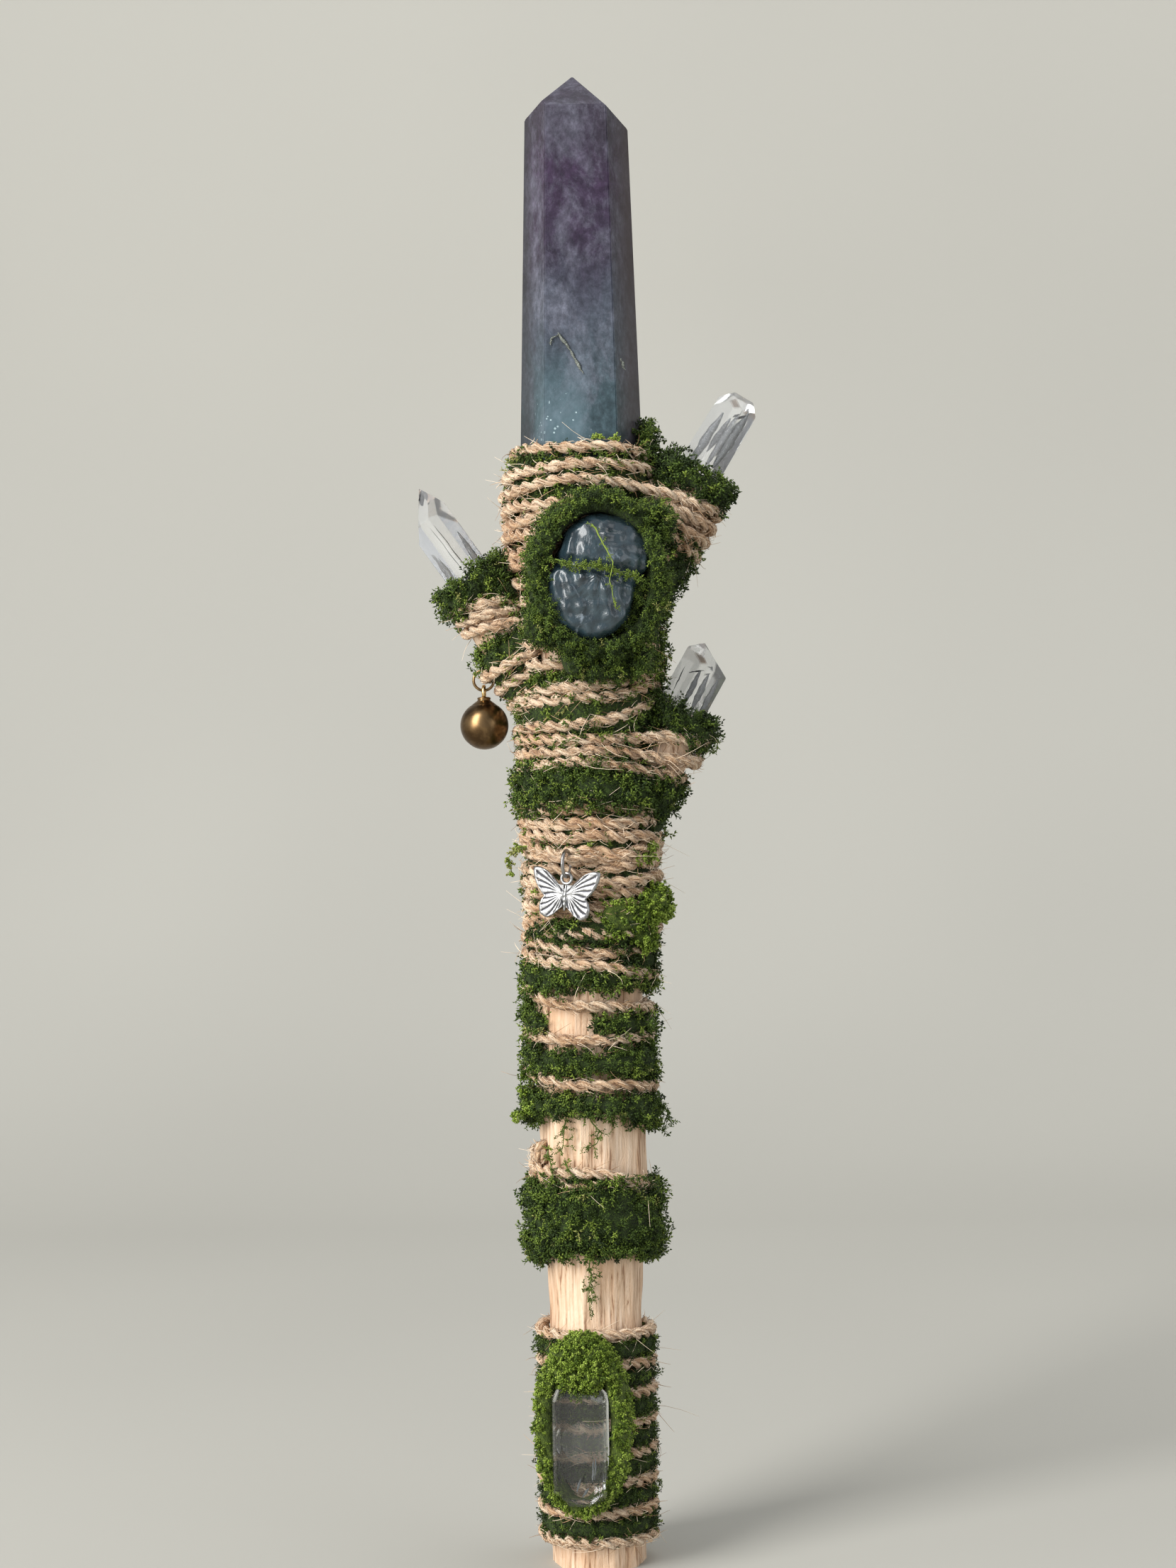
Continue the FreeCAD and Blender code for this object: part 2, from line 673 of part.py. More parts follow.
def make_butterfly():
    """Flat charm in the XZ plane: four wings in one plate, with an eye above the head."""
    body = doc.addObject("PartDesign::Body", "charm_plate")
    sketch = new_sketch(body, "wings_outline", "XZ_Plane")
    ends = []
    for side in (1, -1):
        fore = wing_curve(FORE_WING, side)
        hind = wing_curve(HIND_WING, side)
        sketch.addGeometry(fore, False)
        sketch.addGeometry(hind, False)
        ends.append((fore.StartPoint, hind.EndPoint))
    for right, left in zip(ends[0], ends[1]):
        sketch.addGeometry(Part.LineSegment(right, left), False)
    pad(body, sketch, "wings_pad", "sizes.charm_thickness")
    eye = new_sketch(body, "eye_outline", "XZ_Plane")
    centre = Vector(0, size("charm_eye_height"), 0)
    disc = eye.addGeometry(Part.Circle(centre, Z_AXIS, size("charm_eye_radius")), False)
    radius = eye.addConstraint(Sketcher.Constraint("Radius", disc, size("charm_eye_radius")))
    eye.renameConstraint(radius, "eye_radius")
    eye.setExpression("Constraints.eye_radius", "sizes.charm_eye_radius")
    pad(body, eye, "eye_pad", "sizes.charm_thickness")
    doc.recompute()
    solid_volume = body.Shape.Volume
    hole = new_sketch(body, "eye_hole", "XZ_Plane")
    bore = hole.addGeometry(Part.Circle(centre, Z_AXIS, size("charm_eye_hole")), False)
    radius = hole.addConstraint(Sketcher.Constraint("Radius", bore, size("charm_eye_hole")))
    hole.renameConstraint(radius, "hole_radius")
    hole.setExpression("Constraints.hole_radius", "sizes.charm_eye_hole")
    pocket = body.newObject("PartDesign::Pocket", "eye_pocket")
    pocket.Profile = hole
    pocket.Type = "ThroughAll"
    pocket.Midplane = True
    doc.recompute()
    if body.Shape.Volume > solid_volume - 0.1:
        raise RuntimeError("the eye of the charm was not bored")
    return body


def make_bell(stick):
    """The strand on the left stub, the wire ring on it and the round bell with its pellet."""
    strand = primitive(
        "Torus", "bell_turn", stub_frame("left", size("bell_strand_station")),
        Radius1="sizes.bell_strand_bend", Radius2="sizes.twine_radius",
    )
    tools = [parts[node] for node in ("neck_wrap", "back_wrap", "fork_wrap", "front_nest")]
    keep("bell_strand", cut("bell_strand", strand, stick, *tools))
    frame = stub_frame("left", size("bell_strand_station"))
    hinge = frame.multVec(Vector(-size("bell_strand_bend"), 0, 0))
    ring_z = hinge.z - size("bell_ring_drop")
    ring = primitive(
        "Torus", "bell_wire", at(hinge.x, 0, ring_z, Rotation(X_AXIS, 90)),
        Radius1="sizes.bell_ring_radius", Radius2="sizes.bell_ring_wire",
    )
    keep("bell_ring", ring)
    hook_z = ring_z - size("bell_ring_radius")
    loop = primitive(
        "Torus", "bell_eye", at(hinge.x, 0, hook_z - size("bell_loop_drop"), Rotation(Y_AXIS, 90)),
        Radius1="sizes.bell_loop_radius", Radius2="sizes.bell_loop_wire",
    )
    keep("bell_loop", loop)
    centre_z = hook_z - size("bell_drop")
    centre = at(hinge.x, 0, centre_z)
    ball = primitive("Sphere", "bell_ball", centre, Radius="sizes.bell_radius")
    hollow = primitive("Sphere", "bell_hollow", centre, Radius="sizes.bell_radius - sizes.bell_wall")
    slot_corner = at(
        hinge.x - size("bell_slot_length") / 2,
        -size("bell_slot_width") / 2,
        centre_z - size("bell_radius") - 1,
    )
    slot = primitive(
        "Box", "bell_slot", slot_corner, Length="sizes.bell_slot_length",
        Width="sizes.bell_slot_width", Height="sizes.bell_radius",
    )
    holes = []
    for name, side in (("left", -1), ("right", 1)):
        offset = side * size("bell_slot_length") / 2
        place = at(hinge.x + offset, 0, centre_z - size("bell_radius") - 1)
        holes.append(primitive(
            "Cylinder", f"bell_hole_{name}", place,
            Radius="sizes.bell_slot_hole", Height="sizes.bell_radius",
        ))
    keep("bell_shell", cut("bell_shell", ball, hollow, slot, *holes))
    neck = primitive(
        "Cylinder", "bell_neck",
        at(hinge.x, 0, centre_z + size("bell_radius") - size("bell_cap_overlap")),
        Radius="sizes.bell_cap_radius", Height="sizes.bell_cap_height",
    )
    solid_ball = primitive("Sphere", "bell_outline", centre, Radius="sizes.bell_radius")
    keep("bell_cap", cut("bell_cap", neck, solid_ball, parts["bell_loop"]))
    drop = size("bell_radius") - size("bell_wall") - size("pellet_radius") - size("pellet_gap")
    pellet = primitive(
        "Sphere", "pellet_ball", at(hinge.x, 0, centre_z - drop), Radius="sizes.pellet_radius"
    )
    keep("bell_pellet", pellet)


def check_document():
    """Stop on any failed object and on any sub-part with no valid solid."""
    for obj in doc.Objects:
        if "Invalid" in obj.State or "Error" in obj.State:
            raise RuntimeError(f"{obj.Label} failed: {obj.State}")
    for node, obj in parts.items():
        shape = obj.Shape
        if shape.isNull() or not shape.isValid() or not shape.Solids:
            raise RuntimeError(f"{node} has no valid solid")


def export_parts():
    os.makedirs("parts", exist_ok=True)
    for node, obj in parts.items():
        obj.Shape.exportStep(f"parts/{node}.step")
        print(node, "solids", len(obj.Shape.Solids), "volume", round(obj.Shape.Volume, 2))


fill_sheet()
whole_stick = make_branch()
for stub in STUBS:
    make_quartz(stub)
make_tower()
doc.recompute()
make_trunk_bands(whole_stick)
make_tower_wrap(whole_stick)
for stub in STUBS:
    make_stub_dressing(stub, whole_stick)
make_single_turns(whole_stick)
make_grip_rings(whole_stick)
make_front_stone(whole_stick)
make_grip_crystal()
make_light_patch()
make_charm()
make_bell(whole_stick)
doc.recompute()
check_document()
export_parts()
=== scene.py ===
import math

import bmesh
import bpy
import numpy as np
from mathutils import Matrix, Vector


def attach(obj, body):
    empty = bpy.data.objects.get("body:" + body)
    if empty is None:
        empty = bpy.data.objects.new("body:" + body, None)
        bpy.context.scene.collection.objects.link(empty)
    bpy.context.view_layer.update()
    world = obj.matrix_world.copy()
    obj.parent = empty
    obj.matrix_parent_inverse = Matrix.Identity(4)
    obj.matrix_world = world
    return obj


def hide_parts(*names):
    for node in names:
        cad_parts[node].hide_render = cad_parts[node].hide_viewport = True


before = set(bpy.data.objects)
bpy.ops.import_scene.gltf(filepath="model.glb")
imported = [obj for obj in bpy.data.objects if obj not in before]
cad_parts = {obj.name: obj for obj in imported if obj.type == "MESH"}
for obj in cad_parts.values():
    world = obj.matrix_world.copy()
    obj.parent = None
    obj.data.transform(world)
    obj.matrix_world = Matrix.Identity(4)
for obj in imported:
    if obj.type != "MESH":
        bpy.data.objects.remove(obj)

MM = 0.001
rng = np.random.default_rng(516)
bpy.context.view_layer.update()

# Sizes are in millimetres, apart from the stage, the lamps, the camera and the depth of a
# bump, which are in metres. First the spacing of points along a twine, its short and long
# loose fibres per millimetre, and how thickly moss shoots grow.
STEP = 0.55
FUZZ = (2.3, 0.45)
DENSITY = 1.55

TRUNK_TOP = 183.6
TOWER_BASE = 184.2

# The bell hangs below its pivot and the butterfly in front of the trunk; loose fibres and
# shoots stay out of the room that they swing in.
BELL_ACROSS = -17.468
BELL_PIVOT = 149.91
BELL_HANG = 6.04
BELL_ROOM = 4.6
STEM_UP = 149.0
STEM_ROOM = 1.9
CHARM_ACROSS = -4.2
CHARM_UP = 113.6
CHARM_FRONT = -12.9
CHARM_ROOM = (7.2, 7.4)

# How far the charm, the stone and the grip crystal are turned about the trunk, in degrees.
CHARM_YAW = -18
STONE_YAW = 8
GRIP_YAW = -11.5

# Where the trunk's centre is behind the charm, and the foot of the grip crystal before its turn.
CHARM_CENTRE = 0.6
PRISM_SEAT = (0, -14.3, 13.1)

UP = np.array([0, 0, 1.0])
RIGHT = np.array([1.0, 0, 0])
BACKWARD = np.array([0, 1.0, 0])

# Height, radius and sideways drift of the peeled stick, and where its facets face.
LEVELS = np.array([
    (0.0, 8.5, 0.0), (20.0, 8.8, -0.1), (44.0, 8.3, 0.0), (66.0, 9.3, 0.1), (92.0, 9.6, -0.4),
    (118.0, 9.9, 0.6), (146.0, 10.8, 0.3), (166.0, 11.3, 0.0), (TRUNK_TOP, 11.6, -0.2),
])
FACETS = np.radians([-31, 6, 33, 70, 108, 146, 182, 218, 254, 291])

# Mouth across and up, lean in degrees and length of each side stub.
STUBS = {
    "left": (-18.74, 168.27, -35.0, 30.0),
    "upper_right": (19.4, 185.8, 32.0, 32.0),
    "lower_right": (15.75, 144.8, 30.0, 28.0),
}

# Wound turns: height at left, front, right and back, centre across, radius, and
# for a turn that also goes round a stub, that stub's centre across and radius.
TRUNK_TURNS = {
    "tower_wrap": [
        (190.3, 190.2, 189.4, 190.8, 0.0, 11.5, None), (185.9, 187.3, 186.4, 187.6, -0.3, 12.6, None),
        (182.8, 184.8, 181.0, 184.2, -0.4, 12.9, (14.6, 7.2)),
    ],
    "neck_wrap": [
        (180.0, 181.2, 177.6, 180.8, -0.4, 12.7, (13.6, 7.2)),
        (177.8, 178.8, 174.4, 178.0, -0.3, 12.5, (12.6, 7.0)),
        (175.6, 176.4, 171.4, 175.2, -0.4, 12.6, (10.6, 6.8)), (173.2, 174.2, 170.0, 172.6, -0.3, 12.5, None),
        (171.0, 171.6, 168.6, 170.2, -0.2, 12.4, None),
    ],
    "back_wrap": [
        (168.0, 167.5, 166.0, 167.8, 0.0, 12.4, None), (164.6, 164.0, 163.4, 164.0, 0.0, 12.3, None),
        (161.0, 160.4, 160.0, 160.4, 0.0, 12.3, None), (157.4, 157.0, 157.0, 157.0, 0.1, 12.2, None),
        (154.4, 153.8, 154.6, 154.0, 0.1, 12.1, None),
    ],
    "fork_wrap": [
        (148.4, 150.0, 152.6, 150.4, 0.3, 12.0, None), (146.6, 147.9, 151.0, 148.0, 0.3, 11.8, None),
        (142.6, 143.8, 147.6, 145.2, 0.3, 12.0, None), (141.4, 140.9, 141.2, 142.2, 0.3, 11.7, (12.4, 7.0)),
    ],
    "lower_wrap": [
        (138.9, 139.1, 137.1, 139.0, 0.4, 11.6, (12.0, 7.0)),
        (136.8, 137.0, 134.5, 136.0, 0.4, 11.5, (9.6, 6.8)),
    ],
    "charm_wrap": [
        (130.2, 131.6, 126.6, 129.0, 0.6, 11.0, None), (128.6, 129.6, 128.8, 127.0, 0.6, 10.9, None),
        (127.0, 126.8, 127.2, 126.0, 0.6, 11.3, None), (124.8, 124.6, 124.4, 125.0, 0.6, 11.2, None),
        (124.0, 120.6, 123.2, 123.0, 0.6, 11.2, None), (121.8, 122.0, 119.8, 121.0, 0.6, 10.8, None),
        (119.2, 118.6, 121.4, 118.8, 0.6, 11.0, None), (117.0, 116.8, 117.2, 117.6, 0.6, 11.1, None),
        (115.2, 115.4, 114.2, 115.4, 0.6, 10.8, None), (112.8, 113.0, 112.6, 113.4, 0.6, 11.0, None),
        (110.6, 111.6, 110.2, 111.4, 0.6, 10.9, None), (109.2, 108.4, 108.4, 109.0, 0.6, 10.9, None),
    ],
    "shaft_wrap": [
        (107.4, 105.0, 105.4, 106.2, 0.1, 10.8, None), (104.6, 102.8, 100.4, 102.4, 0.1, 10.8, None),
    ],
    "handle_wrap": [
        (68.3, 67.6, 63.9, 66.6, 0.1, 10.2, None), (66.6, 65.6, 64.2, 65.2, 0.1, 10.1, None),
    ],
    "shaft_turn_1": [(98.4, 96.0, 95.0, 96.2, -0.3, 10.4, None)],
    "shaft_turn_2": [(90.9, 90.3, 90.4, 90.6, -0.35, 10.5, None)],
    "shaft_turn_3": [(84.3, 82.9, 81.4, 83.0, -0.2, 10.8, None)],
}
# How unevenly some bundles are wound, with the size of their two strands.
UNEVEN = {"neck_wrap": (0.55, 0.66, 0.52), "charm_wrap": (0.50, 0.70, 0.55), "fork_wrap": (0.35, 0.64, 0.52)}
GRIP_TURNS = [5.0 + 5.0 * number for number in range(8)]

# Turns on a stub: station from the mouth, radius and tilt in degrees.
STUB_TURNS = {
    "stub_wrap_left": [("left", 4.6, 6.5, -28), ("left", 6.8, 6.6, -28), ("left", 9.1, 6.8, -26)],
    "stub_moss_left": [("left", 18.6, 7.3, -10), ("left", 21.9, 7.2, -9), ("left", 24.4, 7.0, -12)],
    "stub_wrap_upper_right": [
        ("upper_right", 4.6, 7.0, 8), ("upper_right", 6.9, 7.2, 6), ("upper_right", 9.3, 7.3, 4),
        ("upper_right", 11.8, 7.1, 2),
    ],
    "stub_wrap_lower_right": [("lower_right", 4.2, 6.8, 24), ("lower_right", 8.2, 7.0, 22)],
}


# ---------------------------------------------------------------- forms

def heights(left, front, right, back):
    """Smooth height round a ring from its height on four sides."""
    mean = (left + front + right + back) / 4
    swing = (front + back - left - right) / 4
    return lambda a: (
        mean + (front - back) / 2 * np.cos(a) + (right - left) / 2 * np.sin(a) + swing * np.cos(2 * a)
    )


def lumps(points, wavelength, seed):
    """Smooth random field from -1 to 1 over the points."""
    local = np.random.default_rng(seed)
    waves = local.normal(size=(9, 3))
    waves *= (2 * np.pi / wavelength / np.linalg.norm(waves, axis=1))[:, None]
    shifts = local.uniform(0, 2 * np.pi, 9)
    return np.sin(points @ waves.T + shifts).sum(-1) / 4.2


def unit(vectors):
    """Vectors scaled to length one."""
    return vectors / np.maximum(np.linalg.norm(vectors, axis=-1, keepdims=True), 1e-9)


def full_turn(count):
    """Even angles once round, in radians."""
    return np.linspace(0, 2 * np.pi, count, endpoint=False)


def distance_along(points):
    """Distance from the first point to each point of a path."""
    return np.concatenate([[0], np.cumsum(np.linalg.norm(np.diff(points, axis=0), axis=1))])


def values_at(spots, run, values):
    """Rows of values read at distances along a path."""
    return np.stack([np.interp(spots, run, column) for column in values.T], 1)


def turned_about_z(degrees):
    """Rotation matrix about the upright axis."""
    return np.array(Matrix.Rotation(math.radians(degrees), 3, "Z"))


def clear_of_charms(lines):
    """True for each group of points that leaves the swinging bell and butterfly room."""
    turn = np.radians(np.linspace(-37, 37, 9))
    level = BELL_PIVOT - BELL_HANG * np.cos(turn)
    arc = np.stack([np.full(len(turn), BELL_ACROSS), BELL_HANG * np.sin(turn), level], 1)
    near = np.linalg.norm(lines[:, :, None] - arc, axis=-1).min((1, 2))
    stem = np.abs(lines - (BELL_ACROSS, 0, STEM_UP)).max(-1).min(1)
    beside = np.abs(lines[..., 0] - CHARM_ACROSS) < CHARM_ROOM[0]
    beyond = np.abs(lines[..., 2] - CHARM_UP) < CHARM_ROOM[1]
    wings = (beside & beyond & (lines[..., 1] < CHARM_FRONT)).any(1)
    return (near > BELL_ROOM) & (stem > STEM_ROOM) & ~wings


def put(name, data):
    """A new object in the scene."""
    made = bpy.data.objects.new(name, data)
    bpy.context.scene.collection.objects.link(made)
    return made


class Shape:
    """Points and faces, in millimetres, gathered from many forms into one piece."""

    def __init__(self):
        self.points = []
        self.faces = []
        self.slots = []
        self.strands = []
        self.count = 0

    def add(self, points, faces, slot=0, strand=None):
        """Add a form; its faces count from its own first point."""
        points = np.asarray(points, float).reshape(-1, 3)
        self.join(np.asarray(faces, int) + self.count, slot)
        self.points.append(points)
        self.strands.append(np.zeros_like(points) if strand is None else strand.reshape(-1, 3))
        self.count += len(points)

    def join(self, faces, slot=0):
        """Add faces over points that are already here."""
        self.faces.append(faces)
        self.slots.append(np.broadcast_to(slot, len(faces)))

    def piece(self, name, materials, slot, body="root", replaces=()):
        """Make the gathered forms one smooth piece of the model."""
        mesh = bpy.data.meshes.new(name)
        points = (np.concatenate(self.points) * MM).astype(np.float32)
        corners = np.concatenate([faces.ravel() for faces in self.faces]).astype(np.int32)
        sizes = np.concatenate([np.full(len(faces), faces.shape[1]) for faces in self.faces])
        starts = (np.cumsum(sizes) - sizes).astype(np.int32)
        mesh.vertices.add(len(points))
        mesh.vertices.foreach_set("co", points.ravel())
        mesh.loops.add(len(corners))
        mesh.loops.foreach_set("vertex_index", corners)
        mesh.polygons.add(len(sizes))
        mesh.polygons.foreach_set("loop_start", starts)
        mesh.polygons.foreach_set("material_index", np.concatenate(self.slots).astype(np.int32))
        mesh.polygons.foreach_set("use_smooth", np.full(len(sizes), True))
        mesh.update(calc_edges=True)
        strand = mesh.attributes.new("strand", "FLOAT_VECTOR", "POINT")
        strand.data.foreach_set("vector", np.concatenate(self.strands).astype(np.float32).ravel())
        for made in materials:
            mesh.materials.append(made)
        return settle(put(name, mesh), body, replaces)


def settle(made, body="root", replaces=()):
    """Say which body a piece rides on and the CAD nodes it stands for."""
    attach(made, body)
    if replaces:
        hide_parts(*replaces)
    return made


def grid_faces(rows, columns, wrap_rows=False, wrap_columns=True):
    """Quads over a grid of points, closed round one or both ways."""
    row = np.arange(rows if wrap_rows else rows - 1)
    column = np.arange(columns if wrap_columns else columns - 1)
    r, c = np.meshgrid(row, column, indexing="ij")
    r_next = (r + 1) % rows
    c_next = (c + 1) % columns
    here, beyond = r * columns, r_next * columns
    return np.stack([here + c, here + c_next, beyond + c_next, beyond + c], -1).reshape(-1, 4)


def close_ends(shape, start, rows, columns):
    """Faces over the first and last ring of a grid of points."""
    ring = np.arange(columns)
    shape.join(np.array([ring[::-1], ring + (rows - 1) * columns]) + start)


def threads(shape, lines, radius, slots, sides=3):
    """Thin tapered tubes along many short lines at once: lines is count, points, 3."""
    count, length, _ = lines.shape
    along = unit(np.gradient(lines, axis=1))
    first = unit(np.cross(along, np.array([0.31, 0.52, 0.79])))
    second = np.cross(along, first)
    taper = np.linspace(1.0, 0.35, length)[None, :, None, None] * np.reshape(radius, (-1, 1, 1, 1))
    angle = np.arange(sides) * 2 * np.pi / sides
    ring = np.cos(angle)[:, None] * first[:, :, None, :] + np.sin(angle)[:, None] * second[:, :, None, :]
    points = lines[:, :, None, :] + ring * taper
    quads = grid_faces(length, sides)
    size = length * sides
    every = (quads[None] + (np.arange(count) * size)[:, None, None]).reshape(-1, 4)
    shape.add(points, every, np.repeat(slots, len(quads)))
    low = np.arange(sides)[::-1]
    high = np.arange(size - sides, size)
    caps = np.stack([low, high])[None] + (np.arange(count) * size)[:, None, None]
    base = shape.count - count * size
    shape.join(caps.reshape(-1, sides) + base, np.repeat(slots, 2))


# ---------------------------------------------------------------- twine

def resample(points, outward, closed=True):
    """Even steps along a path, with its outward directions."""
    ends = np.vstack([points, points[:1]]) if closed else points
    outs = np.vstack([outward, outward[:1]]) if closed else outward
    run = distance_along(ends)
    spots = np.linspace(0, run[-1], max(8, int(run[-1] / STEP)), endpoint=not closed)
    return values_at(spots, run, ends), unit(values_at(spots, run, outs)), run[-1]


def ripple(count, size, low=2, high=9):
    """A random wave that closes on itself."""
    turn = full_turn(count)
    total = np.zeros(count)
    for order in range(low, high):
        total += rng.normal() / order * np.sin(order * turn + rng.uniform(0, 6.28))
    return size * total


def trunk_turn(left, front, right, back, centre, radius, far=None):
    """A turn round the trunk, or round the trunk and a stub together."""
    angle = full_turn(720)
    normal = np.stack([np.cos(angle), np.sin(angle), np.zeros_like(angle)], 1)
    points = normal * radius
    points[:, 0] += centre
    if far:
        reach = normal * far[1]
        reach[:, 0] += far[0]
        outside = normal[:, 0] * far[0] + far[1] > normal[:, 0] * centre + radius
        points = np.where(outside[:, None], reach, points)
    share = np.clip(0.5 - 0.5 * points[:, 1] / radius, 0, 1)
    middle = front * share + back * (1 - share)
    side = points[:, 0] - centre
    reach_right = max(side.max(), 1e-6)
    to_left = np.clip(-side / radius, 0, 1) ** 2
    to_right = np.clip(side / reach_right, 0, 1) ** (1.2 if far else 2)
    points[:, 2] = middle + (left - middle) * to_left + (right - middle) * to_right
    return points, normal


def stub_axes(side):
    """A stub's mouth, the way it points and the way across it."""
    across, up, lean, _ = STUBS[side]
    angle = math.radians(lean)
    axis = np.array([math.sin(angle), 0, math.cos(angle)])
    beside = np.array([math.cos(angle), 0, -math.sin(angle)])
    return np.array([across, 0, up]), axis, beside


def outward_at(angle, beside):
    """Directions round an axis, from the front towards beside."""
    return np.sin(angle)[..., None] * beside - np.cos(angle)[..., None] * BACKWARD


def stub_turn(side, station, radius, tilt):
    """A turn round a stub, tilted in the plane of the three stubs."""
    mouth, axis, beside = stub_axes(side)
    lean = math.radians(tilt)
    normal = outward_at(full_turn(360), beside * math.cos(lean) + axis * math.sin(lean))
    return mouth - axis * station + radius * normal, normal


def lay_twine(shape, points, outward, loose=0.22, closed=True, ply=0.60, gap=0.50):
    """Two twisted plies along a path, with their fuzz."""
    path, out, length = resample(points, outward, closed)
    count = len(path)
    path = path + out * ripple(count, loose * 0.5)[:, None]
    path[:, 2] += ripple(count, loose)
    along = np.roll(path, -1, 0) - np.roll(path, 1, 0) if closed else np.gradient(path, axis=0)
    along = unit(along)
    out = unit(out - along * (out * along).sum(1)[:, None])
    beside = np.cross(along, out)
    twists = max(1, round(length / 5.6))
    phase = 2 * np.pi * twists * np.arange(count) / (count if closed else count - 1)
    shift = rng.uniform(0, 50)
    sides = 7
    angle = np.arange(sides) * 2 * np.pi / sides
    run = np.arange(count) * STEP
    for start in (0, np.pi):
        turn = phase + start
        spread = gap * (1 + ripple(count, 0.12, 3, 12))[:, None]
        core = path + spread * (np.cos(turn)[:, None] * out + np.sin(turn)[:, None] * beside)
        bulge = ply * (1 + ripple(count, 0.14, 4, 20))
        spin = turn[:, None] + angle[None, :]
        ring = np.cos(spin)[..., None] * out[:, None] + np.sin(spin)[..., None] * beside[:, None]
        tube = core[:, None] + ring * bulge[:, None, None]
        lay = angle[None, :] + run[:, None] * 1.1
        length_on = np.repeat(run[:, None] * 0.16, sides, 1) + shift + start
        strand = np.stack([np.cos(lay), np.sin(lay), length_on], -1)
        shape.add(tube, grid_faces(count, sides, closed), 0, strand)
    fuzz(shape, path, out, along, beside, int(length * FUZZ[0]), (0.9, 2.9), 0.40, 0.072)
    fuzz(shape, path, out, along, beside, int(length * FUZZ[1]), (2.2, 7.0), 0.95, 0.06)


def fuzz(shape, path, out, along, beside, count, reach, lift, radius):
    """Loose fibres that leave the twine's surface."""
    if not count:
        return
    pick = rng.integers(0, len(path), count)
    spin = rng.uniform(-1.9, 1.9, count)[:, None]
    side = np.cos(spin) * out[pick] + np.sin(spin) * beside[pick]
    start = path[pick] + side * 0.98
    way = along[pick] * rng.choice([-1, 1], count)[:, None]
    way = unit(way + side * rng.uniform(0.05, lift, (count, 1)) + rng.normal(size=(count, 3)) * 0.32)
    length = rng.uniform(*reach, (count, 1)) * rng.uniform(0.5, 1.0, (count, 1))
    bend = rng.normal(size=(count, 3)) * 0.35 - side * 0.15
    share = np.linspace(0, 1, 4)[None, :, None]
    lines = start[:, None] + length[:, None] * (way[:, None] * share + bend[:, None] * share ** 2 * 0.6)
    lines = lines[clear_of_charms(lines)]
    count = len(lines)
    threads(shape, lines, np.full(count, radius), rng.choice([1, 2, 3], count, p=(0.55, 0.3, 0.15)))


# ---------------------------------------------------------------- moss

def sprig_forms(count, length, leaves, leaf_length, leaf_width, curl):
    """Small leafy shoots that curl away from +Z, each a closed stem and closed leaves."""
    forms = []
    for _ in range(count):
        shape = Shape()
        share = np.linspace(0, 1, 12)
        turn = curl * rng.uniform(0.5, 1.3) * share ** 1.3
        aside = np.concatenate([[0], np.cumsum(np.sin(turn[1:]))]) * length / 11
        rise = np.concatenate([[0], np.cumsum(np.cos(turn[1:]))]) * length / 11
        sway = 0.12 * length * np.sin(share * 5 + rng.uniform(0, 6))
        spine = np.stack([aside, sway - sway[0], rise], 1)
        threads(shape, spine[None, ::5], np.array([0.085]), np.array([0]))
        places = np.linspace(0.06, 0.98, leaves)
        base = values_at(places, share, spine)
        along = unit(values_at(places, share, np.gradient(spine, axis=0)))
        spin = np.arange(leaves) * 2.4 + rng.uniform(0, 6.28)
        first = unit(np.cross(along, BACKWARD))
        second = np.cross(along, first)
        side = np.cos(spin)[:, None] * first + np.sin(spin)[:, None] * second
        way = unit(side + along * 0.85 + rng.normal(size=(leaves, 3)) * 0.22)
        across = unit(np.cross(way, along))
        lift = np.cross(across, way)
        long = leaf_length * (1.1 - 0.4 * places)[:, None] * rng.uniform(0.8, 1.2, (leaves, 1))
        middle = base + way * long * 0.45 + lift * 0.10
        corners = np.stack([
            base, middle + across * leaf_width, base + way * long, middle - across * leaf_width,
        ], 1)
        faces = np.array([(0, 1, 2), (0, 2, 3), (0, 3, 1), (1, 3, 2)])
        every = (faces[None] + (np.arange(leaves) * 4)[:, None, None]).reshape(-1, 3)
        points = np.concatenate([*shape.points, corners.reshape(-1, 3)])
        forms.append((points, shape.faces, every + shape.count))
    return forms


def scatter(shape, forms, places, normals, shades, scale=(0.7, 1.25), lean=0.9):
    """Set a shoot at each place, leaning away from the surface normal."""
    count = len(places)
    if not count:
        return
    way = unit(normals + rng.normal(size=(count, 3)) * lean * 0.75)
    flat = unit(np.cross(way, rng.normal(size=(count, 3))))
    third = np.cross(way, flat)
    frames = np.stack([flat, third, way], -1) * rng.uniform(*scale, (count, 1, 1))
    chosen = rng.integers(0, len(forms), count)
    for number, (points, stems, leaves) in enumerate(forms):
        mine = np.flatnonzero(chosen == number)
        if not len(mine):
            continue
        moved = np.einsum("nij,kj->nki", frames[mine], points) + places[mine][:, None]
        free = clear_of_charms(moved)
        moved, mine = moved[free], mine[free]
        start = shape.count
        offset = (start + np.arange(len(mine)) * len(points))[:, None, None]
        shape.points.append(moved.reshape(-1, 3))
        shape.strands.append(np.zeros((moved.shape[0] * moved.shape[1], 3)))
        shape.count += moved.shape[0] * moved.shape[1]
        for faces in (*stems, leaves):
            every = (faces[None] + offset).reshape(-1, faces.shape[1])
            shape.join(every, np.repeat(shades[mine], len(faces)))


def round_track(middle, axis, beside):
    """A track round an axis: its centre, the way out and the way up at each angle."""
    def track(a):
        radial = outward_at(a, beside)
        return np.broadcast_to(middle, radial.shape), radial, np.broadcast_to(axis, radial.shape)
    return track


